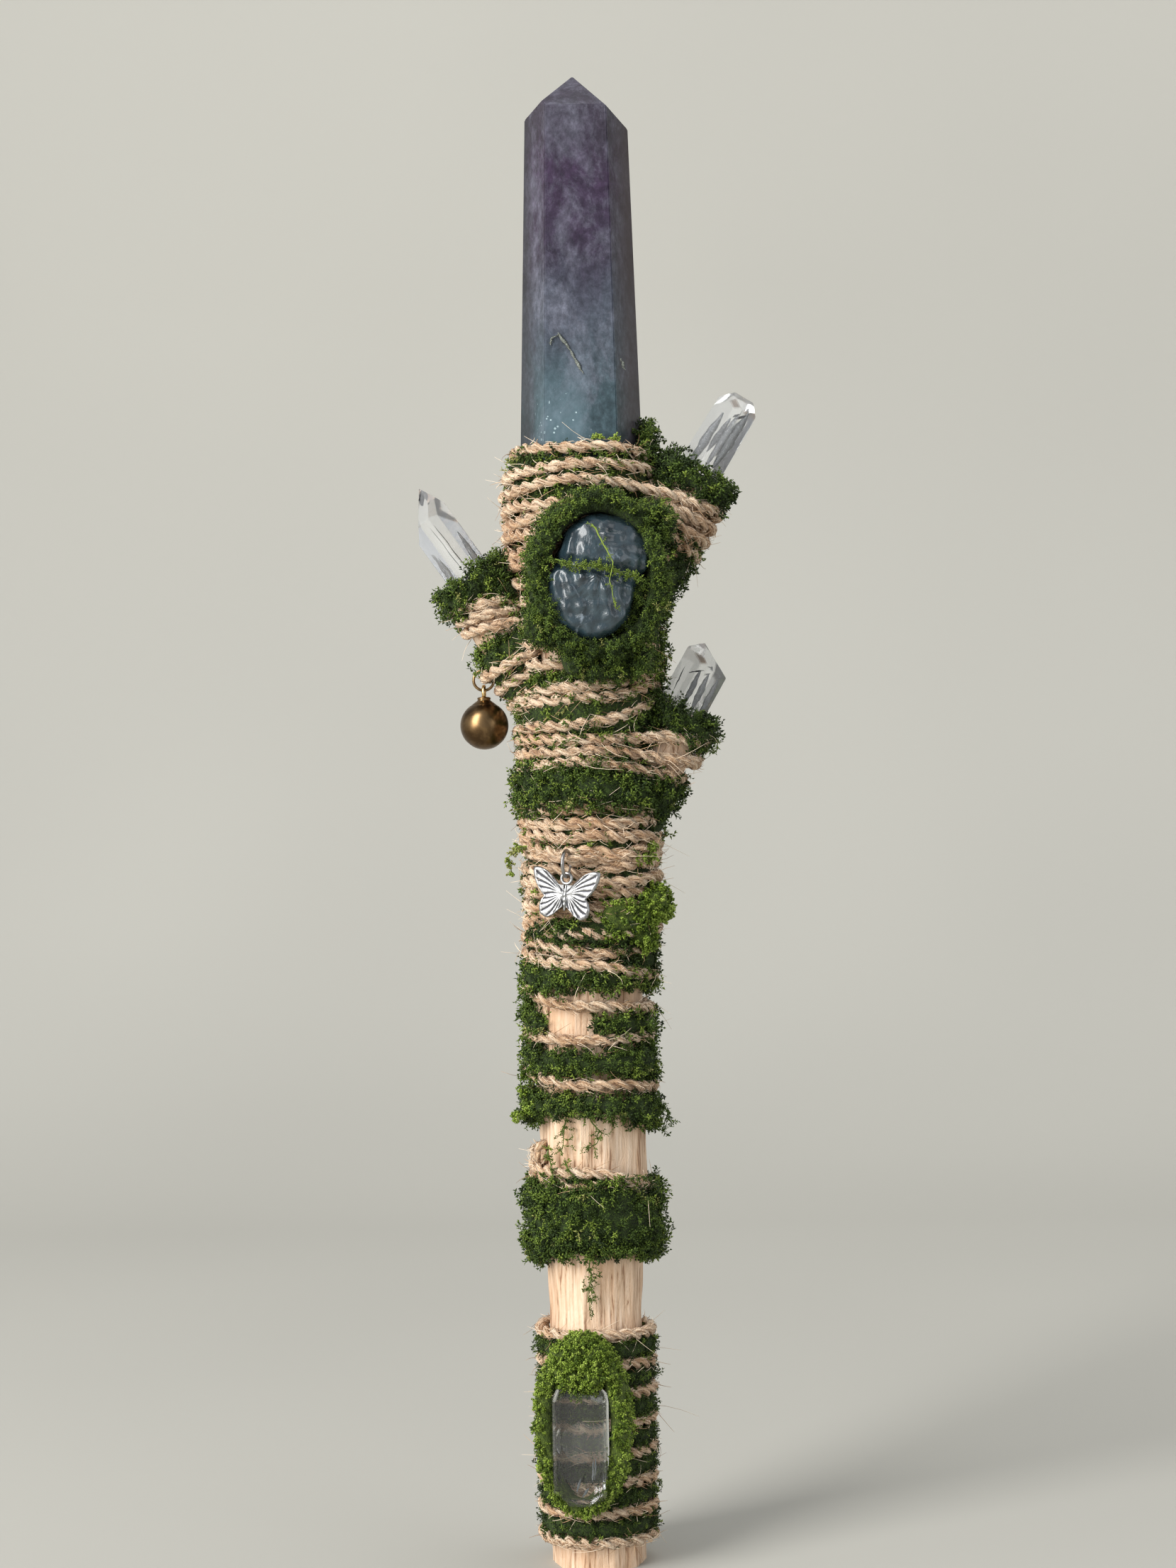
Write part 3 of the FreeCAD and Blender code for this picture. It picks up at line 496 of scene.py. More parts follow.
def oval_track(yaw, across, depth, up, half_width, half_height):
    """An upright oval in front of the trunk; heights on it point forward."""
    spin = turned_about_z(yaw)

    def track(a):
        zero = np.zeros_like(a)
        spot = np.stack([across + half_width * np.sin(a), zero - depth, up + half_height * np.cos(a)], -1)
        radial = unit(np.stack([np.sin(a) / half_width, zero, np.cos(a) / half_height], -1))
        forward = np.broadcast_to(spin @ -BACKWARD, spot.shape)
        return spot @ spin.T, radial @ spin.T, forward
    return track


def section(psi):
    """A squarish round: out along the first axis, up along the second."""
    out, up = np.cos(psi), np.sin(psi)
    return np.sign(out) * np.abs(out) ** 0.75, np.sign(up) * np.abs(up) ** 0.75


def moss_ring(bed, sprigs, forms, track, inner, outer, low, high, density, tones,
              span=(-180, 180), scale=(0.7, 1.25), lean=0.9, lump=0.45, ragged=0.5, seed=1):
    """A lumpy bed of moss along a track, with shoots all over its outer side."""
    first, last = np.radians(span)
    closed = last - first > 6.28
    columns = max(16, int((last - first) * 14))
    rows = 12
    a = np.linspace(first, last, columns, endpoint=not closed)
    psi = np.arange(rows) * 2 * np.pi / rows

    def narrowing(angle):
        """One all along a closed ring; small at the ends of an open one."""
        if closed:
            return np.ones_like(angle)
        return np.clip(np.sin((angle - first) / (last - first) * np.pi) * 2.2, 0.12, 1)

    def level_at(level, angle):
        return level(angle) if callable(level) else np.full_like(angle, level)

    def surface(angle, turn, narrow, grow):
        centre, radial, up = track(angle)
        bottom, top = level_at(low, angle), level_at(high, angle)
        edge = lumps(centre + radial * 11 + up * top[..., None], 4.5, seed + 7)
        half = np.maximum((top - bottom) / 2 + ragged * edge, 0.25) * narrow
        out, rise = section(turn)
        reach = (inner + outer) / 2 + (outer - inner) / 2 * out * narrow + grow * out
        level = (top + bottom) / 2 + half * rise
        spot = centre + radial * reach[..., None] + up * level[..., None]
        bump = lump * (0.65 * lumps(spot, 3.2, seed) + 0.35 * lumps(spot, 1.3, seed + 3)) * (out > -0.2)
        spot = spot + radial * bump[..., None]
        return spot, unit(radial * np.cos(turn)[..., None] + up * np.sin(turn)[..., None])

    grid_a, grid_psi = np.meshgrid(a, psi, indexing="ij")
    points, _ = surface(grid_a, grid_psi, narrowing(grid_a), 0.0)
    base = bed.count
    bed.add(points, grid_faces(columns, rows, closed)[:, ::-1])
    if not closed:
        ends = np.arange(rows), np.arange(rows)[::-1] + (columns - 1) * rows
        bed.join(np.array(ends) + base)
    middle = np.linspace(first, last, 60)
    tall = level_at(high, middle) - level_at(low, middle)
    spot, _, _ = track(middle)
    reach = np.linalg.norm(np.diff(spot, axis=0), axis=1).sum() + abs(outer) * (last - first)
    area = reach * (np.mean(tall) + (outer - inner))
    count = int(area * density * DENSITY)
    angle = rng.uniform(first, last, count)
    turn = rng.uniform(-1.9, 1.9, count)
    places, normals = surface(angle, turn, narrowing(angle), -0.25)
    shades = rng.choice(len(tones), count, p=tones)
    scatter(sprigs, forms, places, normals, shades, scale, lean)


def vine(sprigs, forms, spacing, shades, scale, points):
    """A thin stem along a path with small shoots on its front."""
    points = np.array(points, float)
    run = distance_along(points)
    path = values_at(np.linspace(0, run[-1], max(6, int(run[-1] / 0.5))), run, points)
    path += np.stack([ripple(len(path), 0.18) for _ in range(3)], 1)
    threads(sprigs, path[None], np.array([0.15]), np.array([shades[0]]), 5)
    count = max(2, int(run[-1] / spacing))
    pick = rng.integers(0, len(path), count)
    normals = rng.normal(size=(count, 3)) * 0.8 - BACKWARD
    scatter(sprigs, forms, path[pick], unit(normals), rng.choice(shades, count), scale, 1.2)


# ---------------------------------------------------------------- materials

def node(tree, kind, inputs=None, **settings):
    """A shader node; each input is a value or another node's output."""
    made = tree.nodes.new(kind)
    for key, value in settings.items():
        setattr(made, key, value)
    for key, value in (inputs or {}).items():
        if isinstance(value, bpy.types.NodeSocket):
            tree.links.new(value, made.inputs[key])
        else:
            made.inputs[key].default_value = value
    return made


def new_material(name, **inputs):
    """A material with its node tree and shader; underscores stand for spaces."""
    made = bpy.data.materials.new(name)
    made.use_nodes = True
    shader = made.node_tree.nodes["Principled BSDF"]
    for key, value in inputs.items():
        shader.inputs[key.replace("_", " ")].default_value = value
    return made, made.node_tree, shader


def millimetres(tree, stretch=(1, 1, 1)):
    """Object coordinates in millimetres, stretched along the axes."""
    where = node(tree, "ShaderNodeTexCoord").outputs["Object"]
    scale = tuple(1000.0 * share for share in stretch)
    return node(tree, "ShaderNodeMapping", {"Vector": where, "Scale": scale}).outputs["Vector"]


def noise(tree, where, scale, detail=4.0, rough=0.55, twist=0.0):
    made = node(tree, "ShaderNodeTexNoise", {
        "Vector": where, "Scale": scale, "Detail": detail, "Roughness": rough, "Distortion": twist,
    })
    return made.outputs["Fac"]


def ramp(tree, factor, stops):
    """Colours at places from 0 to 1."""
    made = node(tree, "ShaderNodeValToRGB", {"Fac": factor})
    elements = made.color_ramp.elements
    elements[0].position, elements[0].color = stops[0][0], (*stops[0][1], 1)
    elements[1].position, elements[1].color = stops[-1][0], (*stops[-1][1], 1)
    for position, colour in stops[1:-1]:
        elements.new(position).color = (*colour, 1)
    return made.outputs["Color"]


def maths(tree, operation, *values):
    """The result of a maths node."""
    return node(tree, "ShaderNodeMath", dict(enumerate(values)), operation=operation).outputs[0]


def rescale(tree, value, low, high, start=0.0, end=1.0):
    """A value taken from one range to another and held within it."""
    return node(tree, "ShaderNodeMapRange", {
        "Value": value, "From Min": low, "From Max": high, "To Min": start, "To Max": end,
    }).outputs["Result"]


def axis_of(tree, vector, name):
    """One axis of a vector."""
    return node(tree, "ShaderNodeSeparateXYZ", {"Vector": vector}).outputs[name]


def paint(tree, shader, colour):
    """Use a colour as the material's base colour."""
    tree.links.new(colour, shader.inputs["Base Color"])


def blend(tree, factor, first, second, mode="MIX"):
    """Mix two colours, each a value or another node's output."""
    made = node(tree, "ShaderNodeMix", data_type="RGBA", blend_type=mode)
    for key, value in ((0, factor), (6, first), (7, second)):
        if isinstance(value, bpy.types.NodeSocket):
            tree.links.new(value, made.inputs[key])
        elif key:
            made.inputs[key].default_value = (*value, 1)
        else:
            made.inputs[key].default_value = value
    return made.outputs[2]


def grey(value):
    """A grey of one value."""
    return (value, value, value)


def bump(tree, shader, height, strength, distance):
    made = node(tree, "ShaderNodeBump", {"Height": height, "Strength": strength, "Distance": distance})
    tree.links.new(made.outputs["Normal"], shader.inputs["Normal"])


def make_wood():
    """Pale peeled wood with long grain and a crinkled surface."""
    made, tree, shader = new_material("pale_wood", Roughness=0.72)
    long = millimetres(tree, (1.0, 1.0, 0.07))
    fine = noise(tree, long, 1.5, 7, 0.62, 0.5)
    broad = noise(tree, millimetres(tree, (1, 1, 0.3)), 0.16, 3)
    grain = ramp(tree, fine, [
        (0.36, (0.34, 0.19, 0.11)), (0.43, (0.70, 0.50, 0.34)), (0.66, (0.90, 0.72, 0.56)),
    ])
    tint = ramp(tree, broad, [(0.38, (0.80, 0.66, 0.54)), (0.56, (1.0, 0.96, 0.92))])
    paint(tree, shader, blend(tree, 0.75, grain, tint, "MULTIPLY"))
    crinkle = noise(tree, millimetres(tree, (1, 1, 0.5)), 0.55, 5, 0.6, 1.6)
    bump(tree, shader, maths(tree, "ADD", crinkle, fine), 0.55, 0.0006)
    return made


def make_jute(name, dark, tan, cream):
    """Jute whose fibres follow the strand values of its plies."""
    made, tree, shader = new_material(name, Roughness=0.88)
    shader.inputs["Sheen Weight"].default_value = 0.25
    strand = node(tree, "ShaderNodeAttribute", attribute_name="strand").outputs["Vector"]
    fibre = noise(tree, strand, 2.3, 6, 0.72)
    patch = noise(tree, millimetres(tree), 0.13, 3)
    colour = ramp(tree, fibre, [(0.38, dark), (0.46, tan), (0.54, cream)])
    shade = ramp(tree, patch, [(0.38, (0.74, 0.62, 0.50)), (0.56, grey(1.0))])
    paint(tree, shader, blend(tree, 1.0, colour, shade, "MULTIPLY"))
    bump(tree, shader, fibre, 0.9, 0.0005)
    return made


def plain(name, colour, roughness=0.8, **inputs):
    return new_material(name, Base_Color=(*colour, 1), Roughness=roughness, **inputs)[0]


def make_bed(name, deep, high):
    """A finely mottled rough surface between two colours."""
    made, tree, shader = new_material(name, Roughness=0.95)
    fine = noise(tree, millimetres(tree), 2.1, 5, 0.75, 1.2)
    middle = tuple((low + top) / 2.6 for low, top in zip(deep, high))
    paint(tree, shader, ramp(tree, fine, [(0.4, deep), (0.5, middle), (0.62, high)]))
    bump(tree, shader, fine, 1.0, 0.0009)
    return made


def make_fluorite():
    """Clouded purple above, blue-grey below, with milky veils, a painted lit patch near the foot and small
    bright flaws painted as glints in it.
    """
    made, tree, shader = new_material("fluorite", Roughness=0.2, IOR=1.43)
    shader.inputs["Specular IOR Level"].default_value = 0.34
    place = millimetres(tree)
    up = axis_of(tree, place, "Z")
    across = axis_of(tree, place, "X")
    cloud = noise(tree, millimetres(tree, (1, 1, 0.55)), 0.085, 6, 0.6, 0.9)
    drift = maths(tree, "MULTIPLY_ADD", cloud, 34.0, up)
    body = ramp(tree, rescale(tree, drift, 200.0, 275.0), [
        (0.0, (0.026, 0.046, 0.056)), (0.18, (0.044, 0.068, 0.080)), (0.38, (0.062, 0.070, 0.092)),
        (0.52, (0.034, 0.028, 0.045)), (0.68, (0.040, 0.026, 0.050)), (0.84, (0.038, 0.031, 0.046)),
        (1.0, (0.042, 0.038, 0.048)),
    ])
    veil = noise(tree, millimetres(tree, (1, 1, 0.6)), 0.15, 12, 0.72, 0.35)
    milky = ramp(tree, veil, [(0.46, grey(0.0)), (0.70, grey(0.62))])
    body = blend(tree, milky, body, (0.17, 0.175, 0.22))
    speck = noise(tree, millimetres(tree, (1, 1, 0.8)), 0.75, 8, 0.75, 0.2)
    mottle = ramp(tree, speck, [(0.36, grey(0.62)), (0.5, grey(0.95)), (0.66, grey(1.5))])
    body = blend(tree, 1.0, body, mottle, "MULTIPLY")
    right_edge = maths(tree, "MULTIPLY", rescale(tree, across, 6.0, 8.6), 0.7)
    body = blend(tree, right_edge, body, (0.050, 0.036, 0.036))
    left_edge = maths(tree, "MULTIPLY", rescale(tree, across, -7.4, -9.0), 0.7)
    body = blend(tree, left_edge, body, (0.022, 0.024, 0.026))
    # Painted light: a paler teal-grey lit patch near the foot, centred a little left of the middle and fading
    # out upward.
    aside = maths(tree, "ABSOLUTE", maths(tree, "ADD", across, 3.0))
    area = rescale(tree, aside, 5.2, 2.6)
    base = rescale(tree, up, 207.0, 195.0, 0.0, 0.55)
    body = blend(tree, blend(tree, 1.0, base, area, "MULTIPLY"), body, (0.115, 0.185, 0.215))
    # Small bright flaws painted as glints, only within the painted lit patch and fewer higher up.
    flaw = node(tree, "ShaderNodeTexVoronoi", {"Vector": place, "Scale": 1.15}).outputs["Distance"]
    spark = maths(tree, "LESS_THAN", flaw, rescale(tree, up, 191.0, 203.0, 0.30, 0.0))
    inside = ramp(tree, noise(tree, place, 0.5, 3), [(0.46, grey(0.0)), (0.52, grey(1.0))])
    inside = blend(tree, 1.0, inside, area, "MULTIPLY")
    glint = blend(tree, 1.0, spark, inside, "MULTIPLY")
    paint(tree, shader, blend(tree, glint, body, (0.34, 0.44, 0.47)))
    return made


def make_clear(name, tint, streak, roughness=0.03, clear=1.0):
    """Clear crystal with faint growth lines across it."""
    made, tree, shader = new_material(name, Base_Color=(*tint, 1), Roughness=roughness, IOR=1.54)
    shader.inputs["Transmission Weight"].default_value = clear
    lines = noise(tree, millimetres(tree, streak), 0.9, 4, 0.6, 0.4)
    bump(tree, shader, lines, 0.03, 0.0002)
    return made


def make_stone():
    """Dark blue-grey stone with a glossy coat and pale painted highlights."""
    made, tree, shader = new_material("raw_stone", Roughness=0.26)
    shader.inputs["Coat Weight"].default_value = 0.7
    shader.inputs["Coat Roughness"].default_value = 0.12
    place = millimetres(tree)
    broad = noise(tree, place, 0.22, 5, 0.6, 1.2)
    body = ramp(tree, broad, [
        (0.34, (0.009, 0.018, 0.025)), (0.52, (0.022, 0.041, 0.053)), (0.70, (0.046, 0.078, 0.096)),
    ])
    # Pale patches painted on as highlights, from the same noise that drives the bump.
    highlight_and_bump = noise(tree, millimetres(tree, (1.0, 1.0, 0.6)), 0.26, 7, 0.66, 0.8)
    painted_highlight = ramp(tree, highlight_and_bump, [(0.62, grey(0.0)), (0.72, grey(0.55))])
    paint(tree, shader, blend(tree, painted_highlight, body, (0.42, 0.50, 0.58)))
    bump(tree, shader, highlight_and_bump, 0.45, 0.0008)
    return made


def make_metal(name, light, dark, scale, roughness):
    """Metal with darker worn patches."""
    made, tree, shader = new_material(name, Metallic=1.0, Roughness=roughness)
    wear = noise(tree, millimetres(tree), scale, 5, 0.6, 0.4)
    paint(tree, shader, ramp(tree, wear, [(0.35, dark), (0.62, light)]))
    bump(tree, shader, wear, 0.12, 0.0001)
    return made


def make_silver():
    """Bright silver with darkened engraving; the strand value holds the depth of the cut."""
    made, tree, shader = new_material("engraved_silver", Metallic=1.0, Roughness=0.4)
    depth = node(tree, "ShaderNodeAttribute", attribute_name="strand").outputs["Vector"]
    cut = ramp(tree, axis_of(tree, depth, "X"), [(0.1, grey(0.0)), (0.5, grey(1.0))])
    wear = noise(tree, millimetres(tree), 1.7, 6, 0.7)
    plate = ramp(tree, wear, [(0.38, grey(0.24)), (0.56, grey(0.46))])
    paint(tree, shader, blend(tree, cut, plate, (0.08, 0.08, 0.09)))
    return made


WOOD = make_wood()
JUTE = make_jute("jute", (0.17, 0.080, 0.034), (0.60, 0.37, 0.205), (1.0, 0.79, 0.57))
FIBRES = [
    plain("fibre_pale", (0.93, 0.76, 0.57)), plain("fibre_tan", (0.62, 0.40, 0.23)),
    plain("fibre_brown", (0.30, 0.17, 0.085)),
]


def moss_shades(name, colours):
    """One material for each shade of moss leaf."""
    return [
        plain(f"{name}_{number}", colour, 0.62, Specular_IOR_Level=0.3)
        for number, colour in enumerate(colours)
    ]


DARK_MOSS = moss_shades("moss_dark", (
    (0.022, 0.040, 0.008), (0.046, 0.080, 0.012), (0.082, 0.132, 0.018), (0.135, 0.200, 0.028),
    (0.220, 0.300, 0.044), (0.32, 0.33, 0.10),
))
LIGHT_MOSS = moss_shades("moss_light", (
    (0.085, 0.140, 0.014), (0.155, 0.235, 0.024), (0.240, 0.340, 0.040), (0.34, 0.45, 0.075),
))
DARK_BED = make_bed("moss_bed_dark", (0.007, 0.014, 0.003), (0.085, 0.150, 0.018))
LIGHT_BED = make_bed("moss_bed_light", (0.045, 0.080, 0.008), (0.22, 0.31, 0.04))
FLUORITE = make_fluorite()
QUARTZ = make_clear("quartz_clear", (0.97, 0.98, 0.99), (1.0, 1.0, 0.25), 0.03, 0.90)
PRISM = make_clear("prism_clear", (0.98, 0.99, 0.99), (1.0, 1.0, 0.12), 0.015)
FLAW = make_bed("tower_flaw", (0.20, 0.22, 0.19), (0.62, 0.66, 0.58))
VEIL = make_bed("quartz_veil", (0.50, 0.54, 0.58), (0.90, 0.93, 0.96))
SMOKE = make_bed("quartz_smoke", (0.020, 0.021, 0.024), (0.07, 0.07, 0.075))
STONE = make_stone()
BRONZE = make_metal("antique_bronze", (0.24, 0.150, 0.070), (0.085, 0.050, 0.024), 0.30, 0.30)
GOLD = make_metal("gilt_wire", (0.86, 0.62, 0.30), (0.62, 0.42, 0.19), 0.9, 0.24)
WIRE = make_metal("dark_wire", (0.40, 0.27, 0.13), (0.12, 0.08, 0.04), 0.8, 0.3)
RING = make_metal("ring_steel", (0.42, 0.41, 0.40), (0.20, 0.19, 0.18), 0.8, 0.28)
STEEL = make_metal("pellet_steel", (0.55, 0.55, 0.56), (0.34, 0.34, 0.35), 0.8, 0.3)
SILVER = make_silver()
GLUE = make_clear("clear_glue", (0.99, 0.98, 0.95), (0.6, 0.6, 0.6), 0.12)

FINE = sprig_forms(9, 2.0, 9, 0.90, 0.19, 1.7)
LONG = sprig_forms(6, 3.2, 12, 0.90, 0.19, 2.2)
LUSH = sprig_forms(7, 1.4, 7, 0.80, 0.34, 1.2)
MIXED = FINE + LONG[:2]
DARK_TONES = (0.16, 0.27, 0.28, 0.18, 0.09, 0.02)
DEEP_TONES = (0.34, 0.34, 0.2, 0.09, 0.03, 0.0)
OLIVE_TONES = (0.14, 0.24, 0.26, 0.19, 0.12, 0.05)
LIGHT_TONES = (0.14, 0.27, 0.34, 0.25)


# ---------------------------------------------------------------- the stick

def stick_at(height):
    """Radius and sideways drift of the trunk at a height."""
    return np.interp(height, LEVELS[:, 0], LEVELS[:, 1]), np.interp(height, LEVELS[:, 0], LEVELS[:, 2])


def make_stick():
    """The peeled trunk, cut with a knife into long irregular facets, and its stubs."""
    shape = Shape()
    up = np.concatenate([np.arange(0, TRUNK_TOP, 1.1), [TRUNK_TOP]])
    a = full_turn(120)
    radius, drift = stick_at(up)
    local = np.random.default_rng(9)
    reach = np.full((len(up), len(a)), 99.0)
    for facing in FACETS:
        marks = np.arange(-20, 220, 17.0) + local.uniform(-6, 6)
        swing = np.interp(up, marks, local.normal(0, 0.05, len(marks)))
        depth = np.interp(up, marks, local.uniform(0.86, 0.95, len(marks)))
        along = np.cos(a[None, :] - facing - swing[:, None])
        cut = (radius * depth)[:, None] / np.maximum(along, 0.05)
        reach = np.minimum(reach, cut)
    reach = np.minimum(reach, radius[:, None])
    level = np.repeat(up[:, None], len(a), 1)
    across, back = np.broadcast_arrays(np.sin(a) * 9, -np.cos(a) * 9, level)[:2]
    reach = reach + 0.10 * lumps(np.stack([across, back, level * 0.45], -1), 3.4, 21)
    points = np.stack([drift[:, None] + reach * np.sin(a), -reach * np.cos(a), level], -1)
    shape.add(points, grid_faces(len(up), len(a)))
    last = (len(up) - 1) * len(a)
    for row, tip in ((0, (0, 0, 0)), (last, (drift[-1], 0, TRUNK_TOP))):
        ring = np.arange(len(a)) + row
        middle = shape.count
        shape.add([tip], np.zeros((0, 3), int))
        fan = np.stack([ring, np.roll(ring, -1), np.full(len(a), middle)], 1)
        shape.join(fan[:, ::-1] if row == 0 else fan)
    for side, (_, _, _, length) in STUBS.items():
        mouth, axis, beside = stub_axes(side)
        stations = np.array([length, length * 0.5, 6.0, 0.4, 0.0, 0.0])
        widths = np.array([7.0, 6.3, 5.6, 5.4, 5.0, 0.02])
        angle = full_turn(48)
        ring = outward_at(angle, beside)
        wave = 1 + 0.02 * np.sin(angle * 7)[None, :, None]
        points = mouth - axis * stations[:, None, None] + ring[None] * widths[:, None, None] * wave
        start = shape.count
        shape.add(points, grid_faces(len(stations), len(angle)))
        close_ends(shape, start, len(stations), len(angle))
    shape.piece("stick", [WOOD], "wood", replaces=["branch"]).data.shade_flat()


# ---------------------------------------------------------------- crystals

def hull_of(planes):
    """Corners of the solid inside a set of planes, each a normal and a distance."""
    normals = np.array([unit(np.array(normal, float)) for normal, _ in planes])
    distances = np.array([distance for _, distance in planes])
    corners = []
    total = len(planes)
    for i in range(total):
        for j in range(i + 1, total):
            for k in range(j + 1, total):
                rows = normals[[i, j, k]]
                if abs(np.linalg.det(rows)) < 1e-6:
                    continue
                spot = np.linalg.solve(rows, distances[[i, j, k]])
                if (normals @ spot <= distances + 1e-6).all():
                    corners.append(spot)
    return np.array(corners)


def crystal(name, planes, origin, axis, beside, materials, replaces, bevel=0.12):
    """A faceted crystal with slightly worn edges, standing on its own axis."""
    corners = hull_of(planes)
    front = np.cross(axis, beside)
    points = origin + corners[:, :1] * beside + corners[:, 1:2] * front + corners[:, 2:] * axis
    form = bmesh.new()
    for spot in points:
        form.verts.new(Vector(spot * MM))
    bmesh.ops.remove_doubles(form, verts=form.verts, dist=0.00004)
    found = bmesh.ops.convex_hull(form, input=form.verts)
    bmesh.ops.delete(form, geom=list({*found["geom_unused"], *found["geom_interior"]}), context="VERTS")
    bmesh.ops.dissolve_limit(form, angle_limit=0.03, verts=form.verts, edges=form.edges)
    bmesh.ops.bevel(
        form, geom=list(form.edges), offset=bevel * MM, segments=2, affect="EDGES", clamp_overlap=True,
    )
    bmesh.ops.recalc_face_normals(form, faces=form.faces)
    mesh = bpy.data.meshes.new(name)
    form.to_mesh(mesh)
    form.free()
    for made in materials:
        mesh.materials.append(made)
    settle(put(name, mesh), replaces=replaces)


def side_plane(azimuth, distance, tilt=0.0):
    """A side face: azimuth from the front, in degrees, with a small lean inward."""
    a, t = math.radians(azimuth), math.radians(tilt)
    return (math.sin(a) * math.cos(t), -math.cos(a) * math.cos(t), math.sin(t)), distance


def tip_plane(azimuth, rise, spot):
    """A tip face through a spot; rise is its normal's angle above level."""
    a, t = math.radians(azimuth), math.radians(rise)
    normal = np.array([math.sin(a) * math.cos(t), -math.cos(a) * math.cos(t), math.sin(t)])
    return normal, float(normal @ np.array(spot, float))


def make_tower():
    """The large point: a wide front face, narrow flanks and a low six-sided tip."""
    planes = []
    half, top_half, facet, depth, shoulder = 10.7, 8.95, 6.3, 8.8, 62.2
    shrink = math.degrees(math.atan((half - top_half) / shoulder))
    flank = math.degrees(math.atan2(depth, half - facet))
    reach = half * math.sin(math.radians(flank))
    for azimuth in (90 - (90 - flank), 90 + (90 - flank), -flank, -180 + flank):
        planes.append(side_plane(azimuth, reach, shrink * 0.9))
    planes += [side_plane(0, depth, shrink * 0.8), side_plane(180, depth, shrink * 0.8)]
    top = (-0.5, 0, 71.2)
    for azimuth, rise in ((80, 44.9), (100, 44.9), (-80, 47.9), (-100, 47.9)):
        planes.append(tip_plane(azimuth, rise, top))
    planes += [tip_plane(0, 47, (-0.5, -0.4, 71.0)), tip_plane(180, 47, (-0.5, 0.4, 71.0))]
    planes.append(((0, 0, -1), 0.0))
    seat = UP * TOWER_BASE
    crystal("tower", planes, seat, UP, RIGHT, [FLUORITE], ["tower_crystal"], 0.16)
    shape = Shape()
    for start, end, width in (
        ((-4.7, -8.52, 24.7), (-3.3, -8.52, 25.5), 0.55), ((-3.6, -8.52, 25.6), (-1.6, -8.53, 22.8), 0.32),
        ((-1.8, -8.53, 23.1), (0.6, -8.57, 18.6), 0.26), ((-4.7, -8.53, 24.9), (-4.9, -8.54, 23.6), 0.22),
        ((7.0, -7.2, 21.4), (7.6, -6.9, 19.4), 0.24),
    ):
        sliver(shape, start, end, width, 0, seat, RIGHT, UP, (1.0, 0, 0.3), 0.10)
    shape.piece("tower_flaw", [FLAW], "fluorite")


def sliver(shape, start, end, width, tone, origin, beside, axis, slant=(0.82, 0.5, 0.1), wander=0.05):
    """A thin lens-shaped flake between two spots given in a crystal's own frame."""
    front = np.cross(axis, beside)
    share = np.linspace(0, 1, 12)[:, None]
    line = np.array(start) + (np.array(end) - np.array(start)) * share
    line = line + np.stack([ripple(12, wander) for _ in range(3)], 1)
    spread = width * np.sin(np.pi * (0.06 + 0.88 * share)) * (1 + ripple(12, 0.3, 2, 6)[:, None])
    edge = np.array(slant)
    thick = np.array([0.0, 0.05, 0.0])
    ring = np.stack([line - edge * spread, line - thick, line + edge * spread, line + thick], 1)
    local = ring.reshape(-1, 3)
    base = shape.count
    points = origin + local[:, :1] * beside + local[:, 1:2] * front + local[:, 2:] * axis
    shape.add(points, grid_faces(12, 4), tone)
    shape.join(np.array([[3, 2, 1, 0], [44, 45, 46, 47]]) + base, tone)


def make_quartz(side, planes, slivers):
    """A clear point in a stub, with thin pale veils and dark wisps inside it."""
    mouth, axis, beside = stub_axes(side)
    crystal(
        f"point_{side}", [*planes, ((0, 0, -1), 4.3)], mouth, axis, beside, [QUARTZ],
        [f"quartz_{side}"], 0.10,
    )
    shape = Shape()
    for start, end, width, tone in slivers:
        sliver(shape, start, end, width, tone, mouth, beside, axis)
    shape.piece(f"veils_{side}", [VEIL, SMOKE], "quartz")


def make_prism():
    """The long clear crystal on the grip: a softly rounded bar with worn ends."""
    half_width, half_depth, round_by, length = 4.6, 3.0, 2.2, 20.2
    planes = [((0, 0, -1), 0.0), ((0, 0, 1), length)]
    for azimuth in np.arange(0, 360, 22.5):
        a = math.radians(azimuth)
        reach = (half_width - round_by) * abs(math.sin(a)) + (half_depth - round_by) * abs(math.cos(a))
        planes.append(side_plane(azimuth, reach + round_by))
    for azimuth in np.arange(0, 360, 45):
        a = math.radians(azimuth)
        spot = (half_width * math.sin(a), -half_depth * math.cos(a))
        planes.append(tip_plane(azimuth, -42, (*spot, 1.7)))
        planes.append(tip_plane(azimuth, 42, (*spot, length - 1.7)))
    spin = turned_about_z(GRIP_YAW)
    seat, beside = spin @ np.array(PRISM_SEAT), spin @ RIGHT
    crystal("grip_prism", planes, seat, UP, beside, [PRISM], ["grip_crystal"], 0.1)
    shape = Shape()
    for start, end, width, tone in (
        ((0.6, -1.2, 1.8), (1.6, -1.0, 3.4), 0.35, 0), ((2.2, -0.6, 4.4), (2.5, -0.8, 8.2), 0.22, 0),
        ((-0.6, 0.2, 2.4), (0.2, 0.0, 4.8), 0.25, 0), ((3.0, 0.4, 2.0), (3.2, 0.2, 5.6), 0.18, 0),
    ):
        sliver(shape, start, end, width, tone, seat, beside, UP)
    shape.piece("veils_grip", [VEIL, SMOKE], "quartz")


